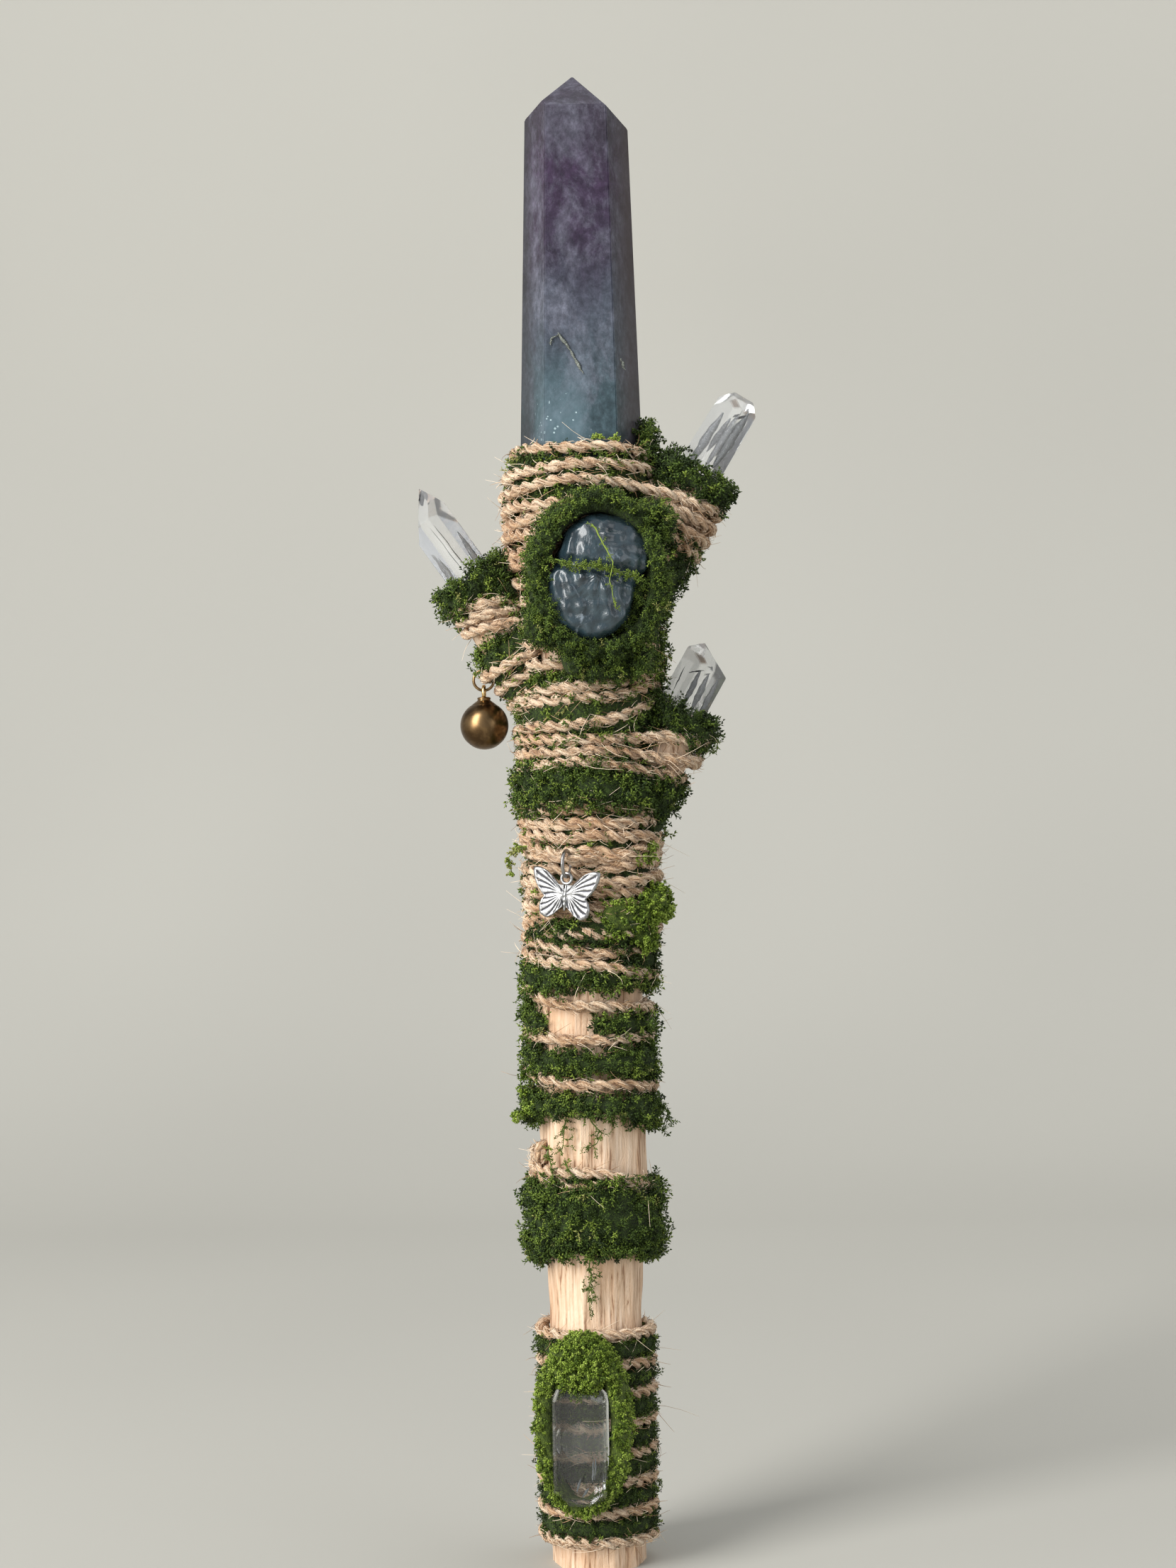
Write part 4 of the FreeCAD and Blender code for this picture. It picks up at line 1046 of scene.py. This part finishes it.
def make_points():
    """The three clear points, each from its side faces and tip faces."""
    left = [side_plane(azimuth, distance) for azimuth, distance in (
        (-38, 3.3), (38, 3.4), (90, 3.95), (142, 3.2), (-142, 3.2), (-90, 3.85),
    )]
    left += [
        tip_plane(-90, 35, (1.8, 0, 18.9)), tip_plane(90, 24, (1.9, 0, 18.9)),
        tip_plane(-35, 38, (1.7, -0.5, 18.4)), tip_plane(35, 34, (1.9, -0.5, 18.5)),
        tip_plane(150, 40, (1.8, 0.5, 18.4)), tip_plane(-150, 40, (1.8, 0.5, 18.4)),
    ]
    make_quartz("left", left, [
        ((-2.4, -0.4, 0.5), (-2.0, -0.4, 7.0), 0.8, 0), ((2.2, -0.6, 0.5), (2.5, -0.6, 9.0), 0.6, 0),
        ((1.0, -0.9, 15.6), (1.9, -0.6, 18.3), 1.1, 1), ((0.1, -2.4, 1.5), (-0.2, -2.4, 12.0), 0.10, 1),
    ])
    upper = [side_plane(azimuth, distance, 1.0) for azimuth, distance in (
        (-12, 3.4), (40, 3.6), (94, 3.8), (150, 3.4), (-150, 3.4), (-88, 3.9),
    )]
    upper += [
        tip_plane(0, 70, (0.1, 0, 16.2)), tip_plane(-80, 44, (-2.0, 0, 16.0)),
        tip_plane(84, 40, (2.3, 0, 16.0)), tip_plane(20, 40, (0.5, -2.0, 15.6)),
        tip_plane(180, 48, (0.2, 1.8, 15.8)), tip_plane(-50, 36, (-1.8, -1.6, 15.2)),
    ]
    make_quartz("upper_right", upper, [
        ((-1.8, -0.6, 1.0), (-1.4, -0.6, 12.0), 1.0, 0), ((0.9, 0.2, 3.0), (1.5, 0.0, 14.4), 1.0, 0),
        ((-0.2, 1.1, 5.0), (0.3, 1.0, 12.0), 0.7, 0),
        ((0.4, -1.4, 12.2), (1.6, -1.2, 13.6), 0.4, 1),
    ])
    lower = [side_plane(azimuth, distance) for azimuth, distance in (
        (-22, 3.5), (34, 3.7), (88, 4.15), (145, 3.5), (-150, 3.5), (-92, 4.2),
    )]
    lower += [
        tip_plane(-88, 50, (-2.2, 0, 13.3)), tip_plane(86, 60, (-1.8, 0, 13.3)),
        tip_plane(-20, 46, (-2.0, -0.8, 13.0)), tip_plane(40, 50, (-1.2, -0.8, 12.8)),
        tip_plane(178, 50, (-2.0, 0.8, 13.0)),
    ]
    make_quartz("lower_right", lower, [
        ((2.9, -0.6, 0.5), (2.6, -0.6, 9.0), 0.6, 0), ((0.6, 0.8, 2.0), (0.2, 0.6, 9.0), 0.7, 0),
        ((-1.6, -0.5, 7.6), (0.6, -0.4, 9.2), 0.35, 1), ((-2.4, 0.2, 3.6), (-2.7, 0.2, 8.2), 0.14, 1),
    ])


# The raw stone's back, the plane that its front is measured from, its shift to the left
# and its outline, across and up.
STONE_BACK = -14.42
STONE_SEAT = -14.4
STONE_SHIFT = 2.2
STONE_EDGE = np.array([
    (3.3, 178.3), (8.1, 177.0), (10.9, 173.7), (10.7, 169.6), (8.6, 166.5), (7.9, 163.6), (6.7, 160.4),
    (3.3, 157.8), (-0.5, 157.5), (-4.3, 159.8), (-6.6, 163.6), (-6.5, 167.3), (-5.0, 169.8), (-4.0, 172.4),
    (-2.4, 175.9), (0.4, 177.9),
])


def stone_depth(across, up):
    """How far the raw stone's broken front stands forward at each spot."""
    chips = (
        (-0.26, 0.20, 7.5), (0.30, -0.06, 7.2), (-0.44, -0.10, 8.5), (0.10, 0.46, 9.0), (0.48, 0.22, 8.9),
        (0.04, -0.40, 9.2), (-0.34, 0.40, 9.2), (0.42, -0.36, 9.8), (0.06, 0.14, 6.9), (-0.12, -0.20, 7.3),
    )
    middle = (2.0, 168.0)
    depth = np.full(np.shape(across), 99.0)
    for slope_x, slope_z, top in chips:
        depth = np.minimum(depth, top - slope_x * (across - middle[0]) - slope_z * (up - middle[1]))
    seam = 169.4 - 0.21 * across
    split = np.exp(-((up - seam) / 1.1) ** 2) * 1.7
    return np.clip(depth - split, 3.6, 7.6)


def make_stone_piece():
    """The raw stone: a smooth closed outline filled with rings, and a broken side wall."""
    shape = Shape()
    count, rings = 120, 26
    share = np.linspace(0, len(STONE_EDGE), count, endpoint=False)
    closed = np.vstack([STONE_EDGE[-1:], STONE_EDGE, STONE_EDGE[:2]])
    low = share.astype(int)
    t = (share - low)[:, None]
    p = [closed[low + k] for k in range(4)]
    edge = 0.5 * (
        2 * p[1] + (p[2] - p[0]) * t + (2 * p[0] - 5 * p[1] + 4 * p[2] - p[3]) * t ** 2
        + (3 * p[1] - p[0] - 3 * p[2] + p[3]) * t ** 3
    )
    middle = edge.mean(0)
    q = (np.arange(1, rings + 1) / rings)[:, None, None] ** 0.8
    flat = middle + (edge[None] - middle) * q
    rim = np.clip((q[..., 0] - 0.86) / 0.14, 0, 1) ** 2 * 1.6
    depth = stone_depth(flat[..., 0], flat[..., 1]) - rim
    front = np.stack([flat[..., 0] - STONE_SHIFT, STONE_SEAT - depth, flat[..., 1]], -1)
    rough = lumps(front.reshape(-1, 3), 2.2, 3).reshape(rings, count)
    front[..., 1] -= np.round(rough * 2.2) * 0.16
    wall = []
    for fall in np.linspace(0.15, 1.0, 8):
        ring = front[-1].copy()
        ring[:, 1] = front[-1][:, 1] * (1 - fall) + STONE_BACK * fall
        jag = lumps(ring, 1.5, 5) * 0.35
        ring[:, 0] += jag
        ring[:, 2] += jag * 0.7
        wall.append(ring)
    rows = np.concatenate([front, np.array(wall)])
    spin = turned_about_z(STONE_YAW)
    points = rows.reshape(-1, 3) @ spin.T
    side = middle[0] - STONE_SHIFT
    centre = np.array([side, STONE_SEAT - stone_depth(*middle), middle[1]]) @ spin.T
    back = np.array([side, STONE_BACK, middle[1]]) @ spin.T
    shape.add(points, grid_faces(len(rows), count))
    shape.add([centre, back], np.zeros((0, 3), int))
    ring = np.arange(count)
    top = np.stack([np.full(count, shape.count - 2), np.roll(ring, -1), ring], 1)
    ring = ring + (len(rows) - 1) * count
    bottom = np.stack([np.full(count, shape.count - 1), ring, np.roll(ring, -1)], 1)
    shape.join(np.concatenate([top, bottom]))
    shape.piece("raw_stone", [STONE], "raw_stone", replaces=["front_stone"])


# ---------------------------------------------------------------- dressing

def twine(name, paths, replaces=(), **look):
    """One twine piece, laid along each path with its outward directions."""
    shape = Shape()
    for points, outward in paths:
        lay_twine(shape, points, outward, **look)
    shape.piece(f"twine_{name}", [JUTE, *FIBRES], "jute", replaces=replaces)


def charm_bow():
    """The strand that the charm hangs from, bowed forward."""
    spin = turned_about_z(CHARM_YAW)
    a = np.radians(np.linspace(-52, 52, 60))
    bow = np.stack([5.5 * np.sin(a), -8.15 - 5.5 * np.cos(a), np.full(60, 121.0)], 1)
    return bow @ spin.T + (CHARM_CENTRE, 0, 0), outward_at(a, RIGHT) @ spin.T


def knot_loop(lean, size):
    """One small loop of the knot at the left of the thin turns."""
    spin = turned_about_z(-70)
    a = full_turn(40)
    loop = np.stack([size * np.cos(a), -9.6 - 0.5 * np.cos(2 * a), 70.6 + size * np.sin(a + lean)], 1)
    return loop @ spin.T, np.broadcast_to(-BACKWARD, loop.shape) @ spin.T


def make_twine():
    """All the twine: round the trunk, the stubs and the grip, then the hanging strands."""
    for name, turns in TRUNK_TURNS.items():
        loose, ply, gap = UNEVEN.get(name, (0.22, 0.60, 0.50))
        twine(name, [trunk_turn(*turn) for turn in turns], [name], loose=loose, ply=ply, gap=gap)
    for name, turns in STUB_TURNS.items():
        twine(name, [stub_turn(*turn) for turn in turns], [name] if name.startswith("stub_wrap") else ())
    grip = [trunk_turn(level, level + 0.3, level - 0.2, level, 0.0, 9.45) for level in GRIP_TURNS]
    twine("grip", grip, ["grip_twine"], loose=0.14)
    twine("bell", [stub_turn("left", 15.6, 8.2, -10)], ["bell_strand"], loose=0.06)
    twine("charm", [charm_bow()], ["charm_strand"], loose=0.0, closed=False, ply=0.40, gap=0.34)
    twine("knot", [knot_loop(0.5, 1.35), knot_loop(-0.6, 1.1)], loose=0.2)


def moss(name, materials, bed_material, slot, replaces, rings, vines=()):
    """One moss piece: its bed and its shoots."""
    bed, sprigs = Shape(), Shape()
    for number, ring in enumerate(rings):
        moss_ring(bed, sprigs, seed=len(name) * 7 + number * 13, **ring)
    for line in vines:
        vine(sprigs, *line)
    bed.piece(f"bed_{name}", [bed_material], slot)
    sprigs.piece(f"shoots_{name}", materials, slot, replaces=replaces)


def band(centre, inner, outer, low, high, density=1.0, tones=DARK_TONES, forms=MIXED, **more):
    """A ring of moss round the trunk; low and high are one height, or one for each side."""
    return {
        "forms": forms, "track": round_track(RIGHT * centre, UP, RIGHT), "inner": inner, "outer": outer,
        "low": heights(*np.broadcast_to(low, 4)), "high": heights(*np.broadcast_to(high, 4)),
        "density": density, "tones": tones, **more,
    }


def on_stub(side, inner, outer, low, high, density, **more):
    """A ring of moss round a stub, placed by its distance beyond the mouth."""
    return {
        "forms": MIXED, "track": round_track(*stub_axes(side)), "inner": inner, "outer": outer,
        "low": low, "high": high, "density": density,
        "tones": DARK_TONES if side == "left" else DEEP_TONES, **more,
    }


DARK = (DARK_MOSS, DARK_BED, "dark_moss")
LIGHT = (LIGHT_MOSS, LIGHT_BED, "light_moss")


def make_upper_moss():
    """Moss on the crown, the shoulder, the fork and the wedge below it."""
    moss("crown", *DARK, [], [
        band(0.0, 10.0, 12.1, 180.6, (189.0, 188.6, 189.0, 189.0), 0.55),
        band(0.4, 9.4, 12.2, (186.0, 188.6, 184.0, 187.5), (189.5, 191.2, 194.6, 192.5), span=(58, 200)),
        band(0.0, 8.9, 9.9, 189.4, 190.6, 0.9, span=(-80, 62), scale=(0.35, 0.65), lump=0.2, ragged=0.2),
    ], [
        (FINE, 0.3, [2, 3, 4], (0.4, 0.7), [(2.0, -11.6, 190.4), (3.4, -12.0, 188.2), (5.6, -11.6, 187.0)]),
    ])
    moss("shoulder", *DARK, [], [
        band(0.6, 9.8, 12.6, (150.5, 151, 151, 151), (167.5, 167, 167, 167), 0.75, OLIVE_TONES,
             span=(38, 150)),
        band(0.0, 9.8, 11.7, 151.0, 180.0, 0.28, OLIVE_TONES, span=(90, 300)),
    ])
    moss("fork", *DARK, ["fork_moss"], [
        band(0.5, 9.4, 12.5, (129.2, 129.9, 128.4, 129.5), (136.4, 135.4, 133.6, 134.6), 1.15),
        band(0.4, 9.6, 11.9, 141.6, 151.6, 0.6, OLIVE_TONES),
        band(0.5, 9.6, 11.4, 135.0, 140.6, 0.35),
    ])
    moss("wedge", *DARK, [], [
        band(0.6, 9.2, 11.5, (106.4, 106.8, 105.4, 106.5), (108.6, 110.8, 109.4, 108.5), 1.0, DEEP_TONES,
             span=(-75, 70)),
        band(0.5, 9.0, 10.7, 107.5, 130.0, 0.26, OLIVE_TONES),
        band(0.1, 9.0, 10.9, (101.6, 103.2, 101.2, 101.0), (105.4, 104.6, 104.8, 105.6), 0.8, DEEP_TONES,
             span=(20, 250)),
    ], [
        (LUSH, 0.24, [4, 5], (0.6, 0.9), [
            (-9.8, -4.4, 123.2), (-11.8, -4.0, 122.8), (-13.6, -3.8, 121.4), (-13.2, -3.8, 118.8),
        ]),
        (LUSH, 0.22, [4], (0.7, 1.0), [(8.4, -8.6, 120.2), (11.0, -6.8, 122.6), (10.6, -7.2, 119.6)]),
    ])


def make_lower_moss():
    """The moss bands between the thin turns, with strands that droop from them, and the grip's moss."""
    moss("band_1", *DARK, ["moss_band_1"], [
        band(-0.2, 9.0, 11.0, (97.6, 99.6, 98.8, 97.4), (103.0, 102.2, 100.4, 100.4), 1.15),
        band(-0.3, 9.0, 10.9, (89.6, 91.5, 90.4, 90.2), (95.4, 93.0, 94.0, 94.0), span=(-130, -46)),
        band(-0.3, 9.0, 11.0, (90.0, 91.2, 90.4, 90.2), (93.8, 94.2, 93.8, 94.0), 1.1, span=(4, 200)),
    ])
    moss("band_2", *DARK, ["moss_band_2"], [
        band(-0.3, 9.0, 11.2, (83.6, 84.8, 83.0, 83.4), (88.6, 87.8, 88.8, 88.2), 1.25, scale=(0.6, 1.05)),
    ])
    moss("band_3", *DARK, ["moss_band_3"], [
        band(-0.1, 9.0, 11.4, (76.2, 78.2, 74.6, 75.6), (80.4, 80.6, 79.6, 79.8), 1.25, ragged=0.8,
             scale=(0.6, 1.1)),
    ], [
        (LONG, 0.32, [2, 3], (0.5, 0.8), [(-4.4, -8.9, 78.0), (-4.9, -9.1, 74.4), (-5.2, -9.2, 71.5)]),
        (LONG, 0.42, [2, 3], (0.5, 0.8), [
            (-1.2, -9.7, 78.0), (1.4, -9.9, 74.6), (0.6, -9.8, 72.6), (-1.0, -9.7, 71.9),
        ]),
        (LONG, 0.3, [1, 2], (0.6, 0.9), [(11.0, -3.0, 79.4), (13.0, -3.2, 77.2), (11.8, -3.6, 74.0)]),
    ])
    moss("band_4", *DARK, ["moss_band_4"], [
        band(0.1, 8.6, 11.4, (53.0, 55.0, 53.2, 53.2), (64.8, 66.2, 64.2, 64.6), 1.3, ragged=0.8),
    ], [
        (LONG, 0.42, [2, 3], (0.5, 0.8), [
            (-1.0, -9.3, 55.0), (-0.7, -9.1, 50.6), (-1.3, -8.9, 46.8), (-0.9, -8.8, 44.6),
        ]),
        (FINE, 0.3, [2, 3, 4], (0.45, 0.8), [(-7.6, -7.4, 71.6), (-7.2, -8.4, 68.6), (-6.2, -9.4, 65.4)]),
        (FINE, 0.34, [2, 3, 4], (0.45, 0.8), [(-4.8, -9.0, 69.4), (-3.4, -10.6, 67.6), (-2.2, -10.6, 65.8)]),
    ])
    moss("grip", *DARK, ["grip_moss"], [
        band(0.0, 8.2, 9.7, level + 1.2, level + 3.8, 1.5, DEEP_TONES, scale=(0.5, 0.85), lump=0.25,
             ragged=0.2)
        for level in GRIP_TURNS[:-1]
    ])


def make_stub_moss():
    """Moss round each stub's mouth, down its inner side and round its foot."""
    for side in STUBS:
        inner_side = (15, 165) if side == "left" else (-165, -15)
        moss(f"cap_{side}", *DARK, [f"moss_cap_{side}"], [
            on_stub(side, 4.4, 7.0, -2.6, 1.0, 1.15),
            on_stub(side, 5.0, 7.4, -9.5, -1.5, 0.95, span=inner_side),
        ])
        moss(f"stub_{side}", *DARK, [f"stub_moss_{side}"], [on_stub(side, 5.2, 7.2, -25.6, -10.8, 0.85)])


def make_nest():
    """Dark moss round the raw stone, and two strands that cross the stone's front."""
    nest = oval_track(STONE_YAW, 0.2, 14.6, 168.0, 9.9, 12.5)
    clumps = ((1.8, 154.4, 5.2, 2.6), (-8.2, 160.2, 1.4, 2.4), (9.4, 177.0, 1.6, 2.8))
    moss("nest", *DARK, ["front_nest"], [
        {
            "forms": FINE + LONG[:1], "track": nest, "inner": -1.9, "outer": 1.6, "low": -5.2, "high": 4.2,
            "density": 1.5, "tones": DARK_TONES, "lump": 0.65, "ragged": 0.7, "scale": (0.5, 0.95),
        },
        {
            "forms": FINE, "track": nest, "inner": -5.0, "outer": -1.6, "low": -4.0, "high": 3.2,
            "density": 1.2, "tones": DARK_TONES, "span": (84, 158), "scale": (0.5, 0.8),
        },
        *({
            "forms": MIXED, "track": oval_track(STONE_YAW, across, 14.2, up, width, 1.0), "inner": -0.9,
            "outer": 2.4, "low": -3.6, "high": high, "density": 1.1, "tones": OLIVE_TONES, "ragged": 0.8,
            "scale": (0.5, 0.9),
        } for across, up, width, high in clumps),
    ], [
        (FINE, 0.16, [3, 4], (0.45, 0.75), [
            (-4.6, -20.6, 170.6), (-1.5, -21.0, 169.4), (2.6, -21.4, 169.2), (6.6, -20.9, 167.9),
            (9.6, -19.8, 167.2),
        ]),
        (FINE, 0.6, [4], (0.3, 0.5), [
            (1.6, -21.4, 176.4), (3.2, -21.6, 173.0), (5.0, -21.6, 170.0), (4.2, -21.9, 166.4),
            (5.4, -21.5, 162.4),
        ]),
    ])


def make_light_moss():
    """The light patch beside the butterfly, lime tufts on the left and bits at the tower's foot."""
    lush = {"scale": (0.7, 1.15), "lean": 1.1, "ragged": 0.9}
    moss("patch", *LIGHT, ["light_moss"], [
        band(0.6, 10.2, 12.5, (108.4, 108.8, 108.2, 108), (113.2, 113.0, 113.4, 113), 1.1, LIGHT_TONES, LUSH,
             span=(6, 62), **lush),
        band(0.6, 10.6, 13.4, 110.8, 114.8, 1.2, LIGHT_TONES, LUSH, span=(46, 96), **lush),
        band(0.6, 10.4, 12.6, 105.4, 110.4, 1.2, LIGHT_TONES, LUSH, span=(34, 60), **lush),
    ], [
        (LUSH, 0.16, [1, 2, 3], (0.7, 1.0), [(-9.8, -5.2, 78.4), (-12.0, -5.4, 77.6), (-14.2, -5.0, 77.0)]),
        (LUSH, 0.2, [0, 1, 2], (0.6, 0.9), [(-10.4, -5.0, 85.6), (-12.2, -4.6, 83.6), (-11.8, -4.8, 80.6)]),
        (LUSH, 0.06, [3], (0.4, 0.6), [(2.4, -10.0, 191.9), (3.5, -10.0, 191.9)]),
        (LUSH, 0.06, [3], (0.4, 0.6), [(5.2, -9.9, 191.8), (6.2, -9.8, 191.8)]),
    ])


def make_grip_nest():
    """Light moss round the crystal on the grip, thicker above it."""
    lush = {"forms": LUSH, "density": 1.7, "tones": LIGHT_TONES, "lean": 1.1}
    moss("grip_nest", *LIGHT, ["grip_nest"], [
        {
            **lush, "track": oval_track(GRIP_YAW, 0.0, 11.4, 26.0, 6.0, 12.9), "inner": -1.1, "outer": 2.1,
            "low": -2.6, "high": 3.5, "lump": 0.45, "ragged": 0.35, "scale": (0.4, 0.75),
        },
        {
            **lush, "track": oval_track(GRIP_YAW, 0.0, 11.6, 36.2, 1.5, 1.4), "inner": -1.4, "outer": 3.4,
            "low": -2.4, "high": 4.6, "scale": (0.5, 0.85),
        },
    ], [
        (LUSH, 0.04, [1, 2, 3], (0.5, 0.8), [(-4.2, -15.4, 36.4), (-3.2, -15.6, 36.8), (-2.2, -15.4, 36.4)]),
    ])


# ---------------------------------------------------------------- charm and bell

# Outlines of the right wings, as shares of WING_SIZE; the left ones are mirrored.
WING_SIZE = (6.1, 4.4)
FORE_WING = np.array([
    (0.05, 0.38), (0.21, 0.38), (0.37, 0.65), (0.57, 0.88), (0.79, 1.0), (0.97, 0.97), (0.96, 0.71),
    (0.87, 0.36), (0.73, 0.07), (0.61, -0.1),
])
HIND_WING = np.array([
    (0.61, -0.1), (0.7, -0.27), (0.74, -0.52), (0.69, -0.8), (0.5, -0.94), (0.33, -0.82), (0.18, -0.61),
    (0.07, -0.48),
])


def make_wing(shape, outline, side, veins, seed):
    """One wing: a rim, veins that fan out from the body, and cut lines between them."""
    rows, columns = 18, 64
    run = distance_along(outline)
    edge = values_at(np.linspace(0, run[-1], columns), run, outline)
    for _ in range(3):
        edge[1:-1] = (edge[:-2] + 2 * edge[1:-1] + edge[2:]) / 4
    root = np.array([0.05, 0.02])
    q = np.linspace(0.0, 1.0, rows)[:, None, None]
    flat = (root + (edge[None] - root) * q) * np.array([WING_SIZE[0] * side, WING_SIZE[1]])
    turn = np.linspace(0, 1, columns)[None, :]
    share = q[..., 0]
    line = np.abs(((turn * veins + 0.25 * np.sin(share * 5 + seed)) % 1.0) - 0.5)
    cut = np.clip(1 - line / 0.24, 0, 1) * np.clip((share - 0.18) / 0.2, 0, 1)
    cut = cut * np.clip((0.93 - share) / 0.05, 0, 1)
    rim = np.clip((share - 0.9) / 0.05, 0, 1)
    lift = 0.36 + 0.10 * rim - 0.14 * cut + 0.05 * np.sin(turn * np.pi)
    lift = np.where(share > 0.985, 0.12, lift)
    front = np.stack([flat[..., 0], -lift, flat[..., 1]], -1)
    back = front * np.array([1, -0.45, 1])
    marks = np.stack([cut, cut, cut], -1)
    faces = grid_faces(rows, columns, False, False)
    outward = faces if side < 0 else faces[:, ::-1]
    base = shape.count
    shape.add(front, outward, 0, marks)
    shape.add(back, outward[:, ::-1])
    size = rows * columns
    last = np.arange(size - columns, size)
    rim_faces = np.stack([last[:-1], last[1:], last[1:] + size, last[:-1] + size], 1) + base
    shape.join(rim_faces if side < 0 else rim_faces[:, ::-1])


def make_butterfly():
    """The silver butterfly: four wings, a ringed body and an eye, hung a little aslant."""
    shape = Shape()
    for side in (-1, 1):
        make_wing(shape, FORE_WING, side, 7, 0.4)
        make_wing(shape, HIND_WING, side, 6, 1.7)
    up = np.linspace(0, 1, 26)
    level = -2.7 + up * 4.5
    width = 0.5 * np.sin(np.pi * np.clip(up, 0.02, 0.98)) ** 0.6 * (1 + 0.16 * np.sin(up * 34))
    a = full_turn(14)
    across, back = width[:, None] * np.cos(a), width[:, None] * np.sin(a) * 0.95
    base = shape.count
    shape.add(np.stack([across, back, np.repeat(level[:, None], len(a), 1)], -1), grid_faces(len(up), len(a)))
    close_ends(shape, base, len(up), len(a))
    around, tube = full_turn(32)[:, None], full_turn(10)[None]
    ring_radius, wire, eye_up = 0.88, 0.27, 2.75
    reach = ring_radius + wire * np.cos(tube)
    thick = np.repeat(wire * np.sin(tube), len(around), 0)
    eye = np.stack([reach * np.cos(around), thick, eye_up + reach * np.sin(around)], -1)
    shape.add(eye, grid_faces(around.size, tube.size, True)[:, ::-1])
    points = np.concatenate(shape.points)
    tilt = math.radians(5.5)
    hook = 3.01
    drop = points[:, 2] - hook
    points = np.stack([
        points[:, 0] * math.cos(tilt) + drop * math.sin(tilt), points[:, 1],
        hook + drop * math.cos(tilt) - points[:, 0] * math.sin(tilt),
    ], 1)
    hung = (points + (0, -13.65, 114.99)) @ turned_about_z(CHARM_YAW).T
    shape.points = [hung + (CHARM_CENTRE, 0, 0)]
    shape.piece("butterfly_charm", [SILVER], "silver", "butterfly", ["butterfly"])


def make_metalwork():
    """Finishes for the pieces that stay as they are, and the bell's tapered neck."""
    for name, made in (
        ("charm_ring", RING), ("bell_ring", WIRE), ("bell_loop", GOLD), ("bell_shell", BRONZE),
        ("bell_pellet", STEEL), ("tower_glue", GLUE), ("stone_glue", GLUE),
        ("grip_glue", GLUE), ("quartz_glue_left", GLUE), ("quartz_glue_upper_right", GLUE),
        ("quartz_glue_lower_right", GLUE),
    ):
        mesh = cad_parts[name].data
        mesh.materials.clear()
        mesh.materials.append(made)
    profile = np.array([
        (2.35, 147.2), (1.9, 147.62), (1.5, 147.92), (1.2, 148.12), (1.06, 148.32), (1.16, 148.44),
        (1.16, 148.6), (1.02, 148.72), (0.62, 148.8), (0.02, 148.82),
    ])
    inner = np.array([(0.02, 147.9), (1.0, 147.8), (2.2, 147.12)])
    line = np.concatenate([profile, inner])
    a = full_turn(40)
    across, back = BELL_ACROSS + line[:, :1] * np.cos(a), line[:, :1] * np.sin(a)
    points = np.stack([across, back, np.repeat(line[:, 1:], len(a), 1)], -1)
    shape = Shape()
    shape.add(points, grid_faces(len(line), len(a), True))
    shape.piece("bell_neck", [BRONZE], "brass", "bell", ["bell_cap"])


# ---------------------------------------------------------------- stage

def make_stage():
    """A pale floor that sweeps up into a pale wall."""
    sweep = 0.35
    depth = [(-1.2, 0.0), (sweep, 0.0)]
    for turn in np.linspace(0, math.pi / 2, 16)[1:]:
        depth.append((sweep + sweep * math.sin(turn), sweep - sweep * math.cos(turn)))
    depth.append((2 * sweep, 1.6))
    points = [(x, y, z) for y, z in depth for x in (-1.6, 1.6)]
    faces = [(2 * k, 2 * k + 1, 2 * k + 3, 2 * k + 2) for k in range(len(depth) - 1)]
    mesh = bpy.data.meshes.new("floor")
    mesh.from_pydata(points, [], faces)
    mesh.polygons.foreach_set("use_smooth", [True] * len(faces))
    pale, tree, shader = new_material("pale_floor", Roughness=0.9)
    soft = noise(tree, node(tree, "ShaderNodeTexCoord").outputs["Object"], 2.4, 2)
    colour = ramp(tree, soft, [(0.3, (0.40, 0.39, 0.355)), (0.7, (0.445, 0.435, 0.395))])
    paint(tree, shader, colour)
    mesh.materials.append(pale)
    put("floor", mesh)


def make_light():
    """A soft even room, a tall key lamp on the left, a weak fill and a lamp on the wall."""
    world = bpy.data.worlds.new("studio")
    world.use_nodes = True
    world.node_tree.nodes["Background"].inputs["Color"].default_value = (0.92, 0.96, 1.0, 1)
    world.node_tree.nodes["Background"].inputs["Strength"].default_value = 0.5
    bpy.context.scene.world = world
    bpy.context.scene.view_settings.view_transform = "Standard"
    wand, wall = (0, 0, 0.13), (0.0, 0.70, 0.30)
    for name, place, target, size, power, colour in (
        ("key", (-0.66, -0.62, 0.55), wand, (0.42, 1.05), 17.0, (1.0, 0.99, 0.97)),
        ("fill", (0.75, -0.55, 0.25), wand, (0.6, 0.6), 1.4, (0.95, 0.97, 1.0)),
        ("wall", (0.35, 0.15, 0.9), wall, (0.7, 0.7), 3.0, (1.0, 0.99, 0.97)),
    ):
        lamp = bpy.data.lights.new(name, "AREA")
        lamp.shape = "RECTANGLE"
        lamp.size, lamp.size_y = size
        lamp.energy = power
        lamp.color = colour
        made = put(name, lamp)
        made.location = place
        aim = Vector(target) - made.location
        made.rotation_euler = aim.to_track_quat("-Z", "Y").to_euler()


def make_camera():
    """A level camera in front of the wand, rolled a little."""
    camera = bpy.data.cameras.new("camera")
    camera.lens = 61.3
    camera.sensor_width = 36.0
    camera.clip_start = 0.01
    made = put("camera", camera)
    roll = math.radians(0.96)
    c, s = math.cos(roll), math.sin(roll)
    made.matrix_world = Matrix((
        (c, s, 0, 0.0002), (0, 0, -1, -0.46), (-s, c, 0, 0.1335), (0, 0, 0, 1),
    ))
    bpy.context.scene.camera = made


make_stage()
make_light()
make_camera()
make_stick()
make_tower()
make_points()
make_prism()
make_stone_piece()
make_twine()
make_upper_moss()
make_lower_moss()
make_stub_moss()
make_nest()
make_light_moss()
make_grip_nest()
make_butterfly()
make_metalwork()
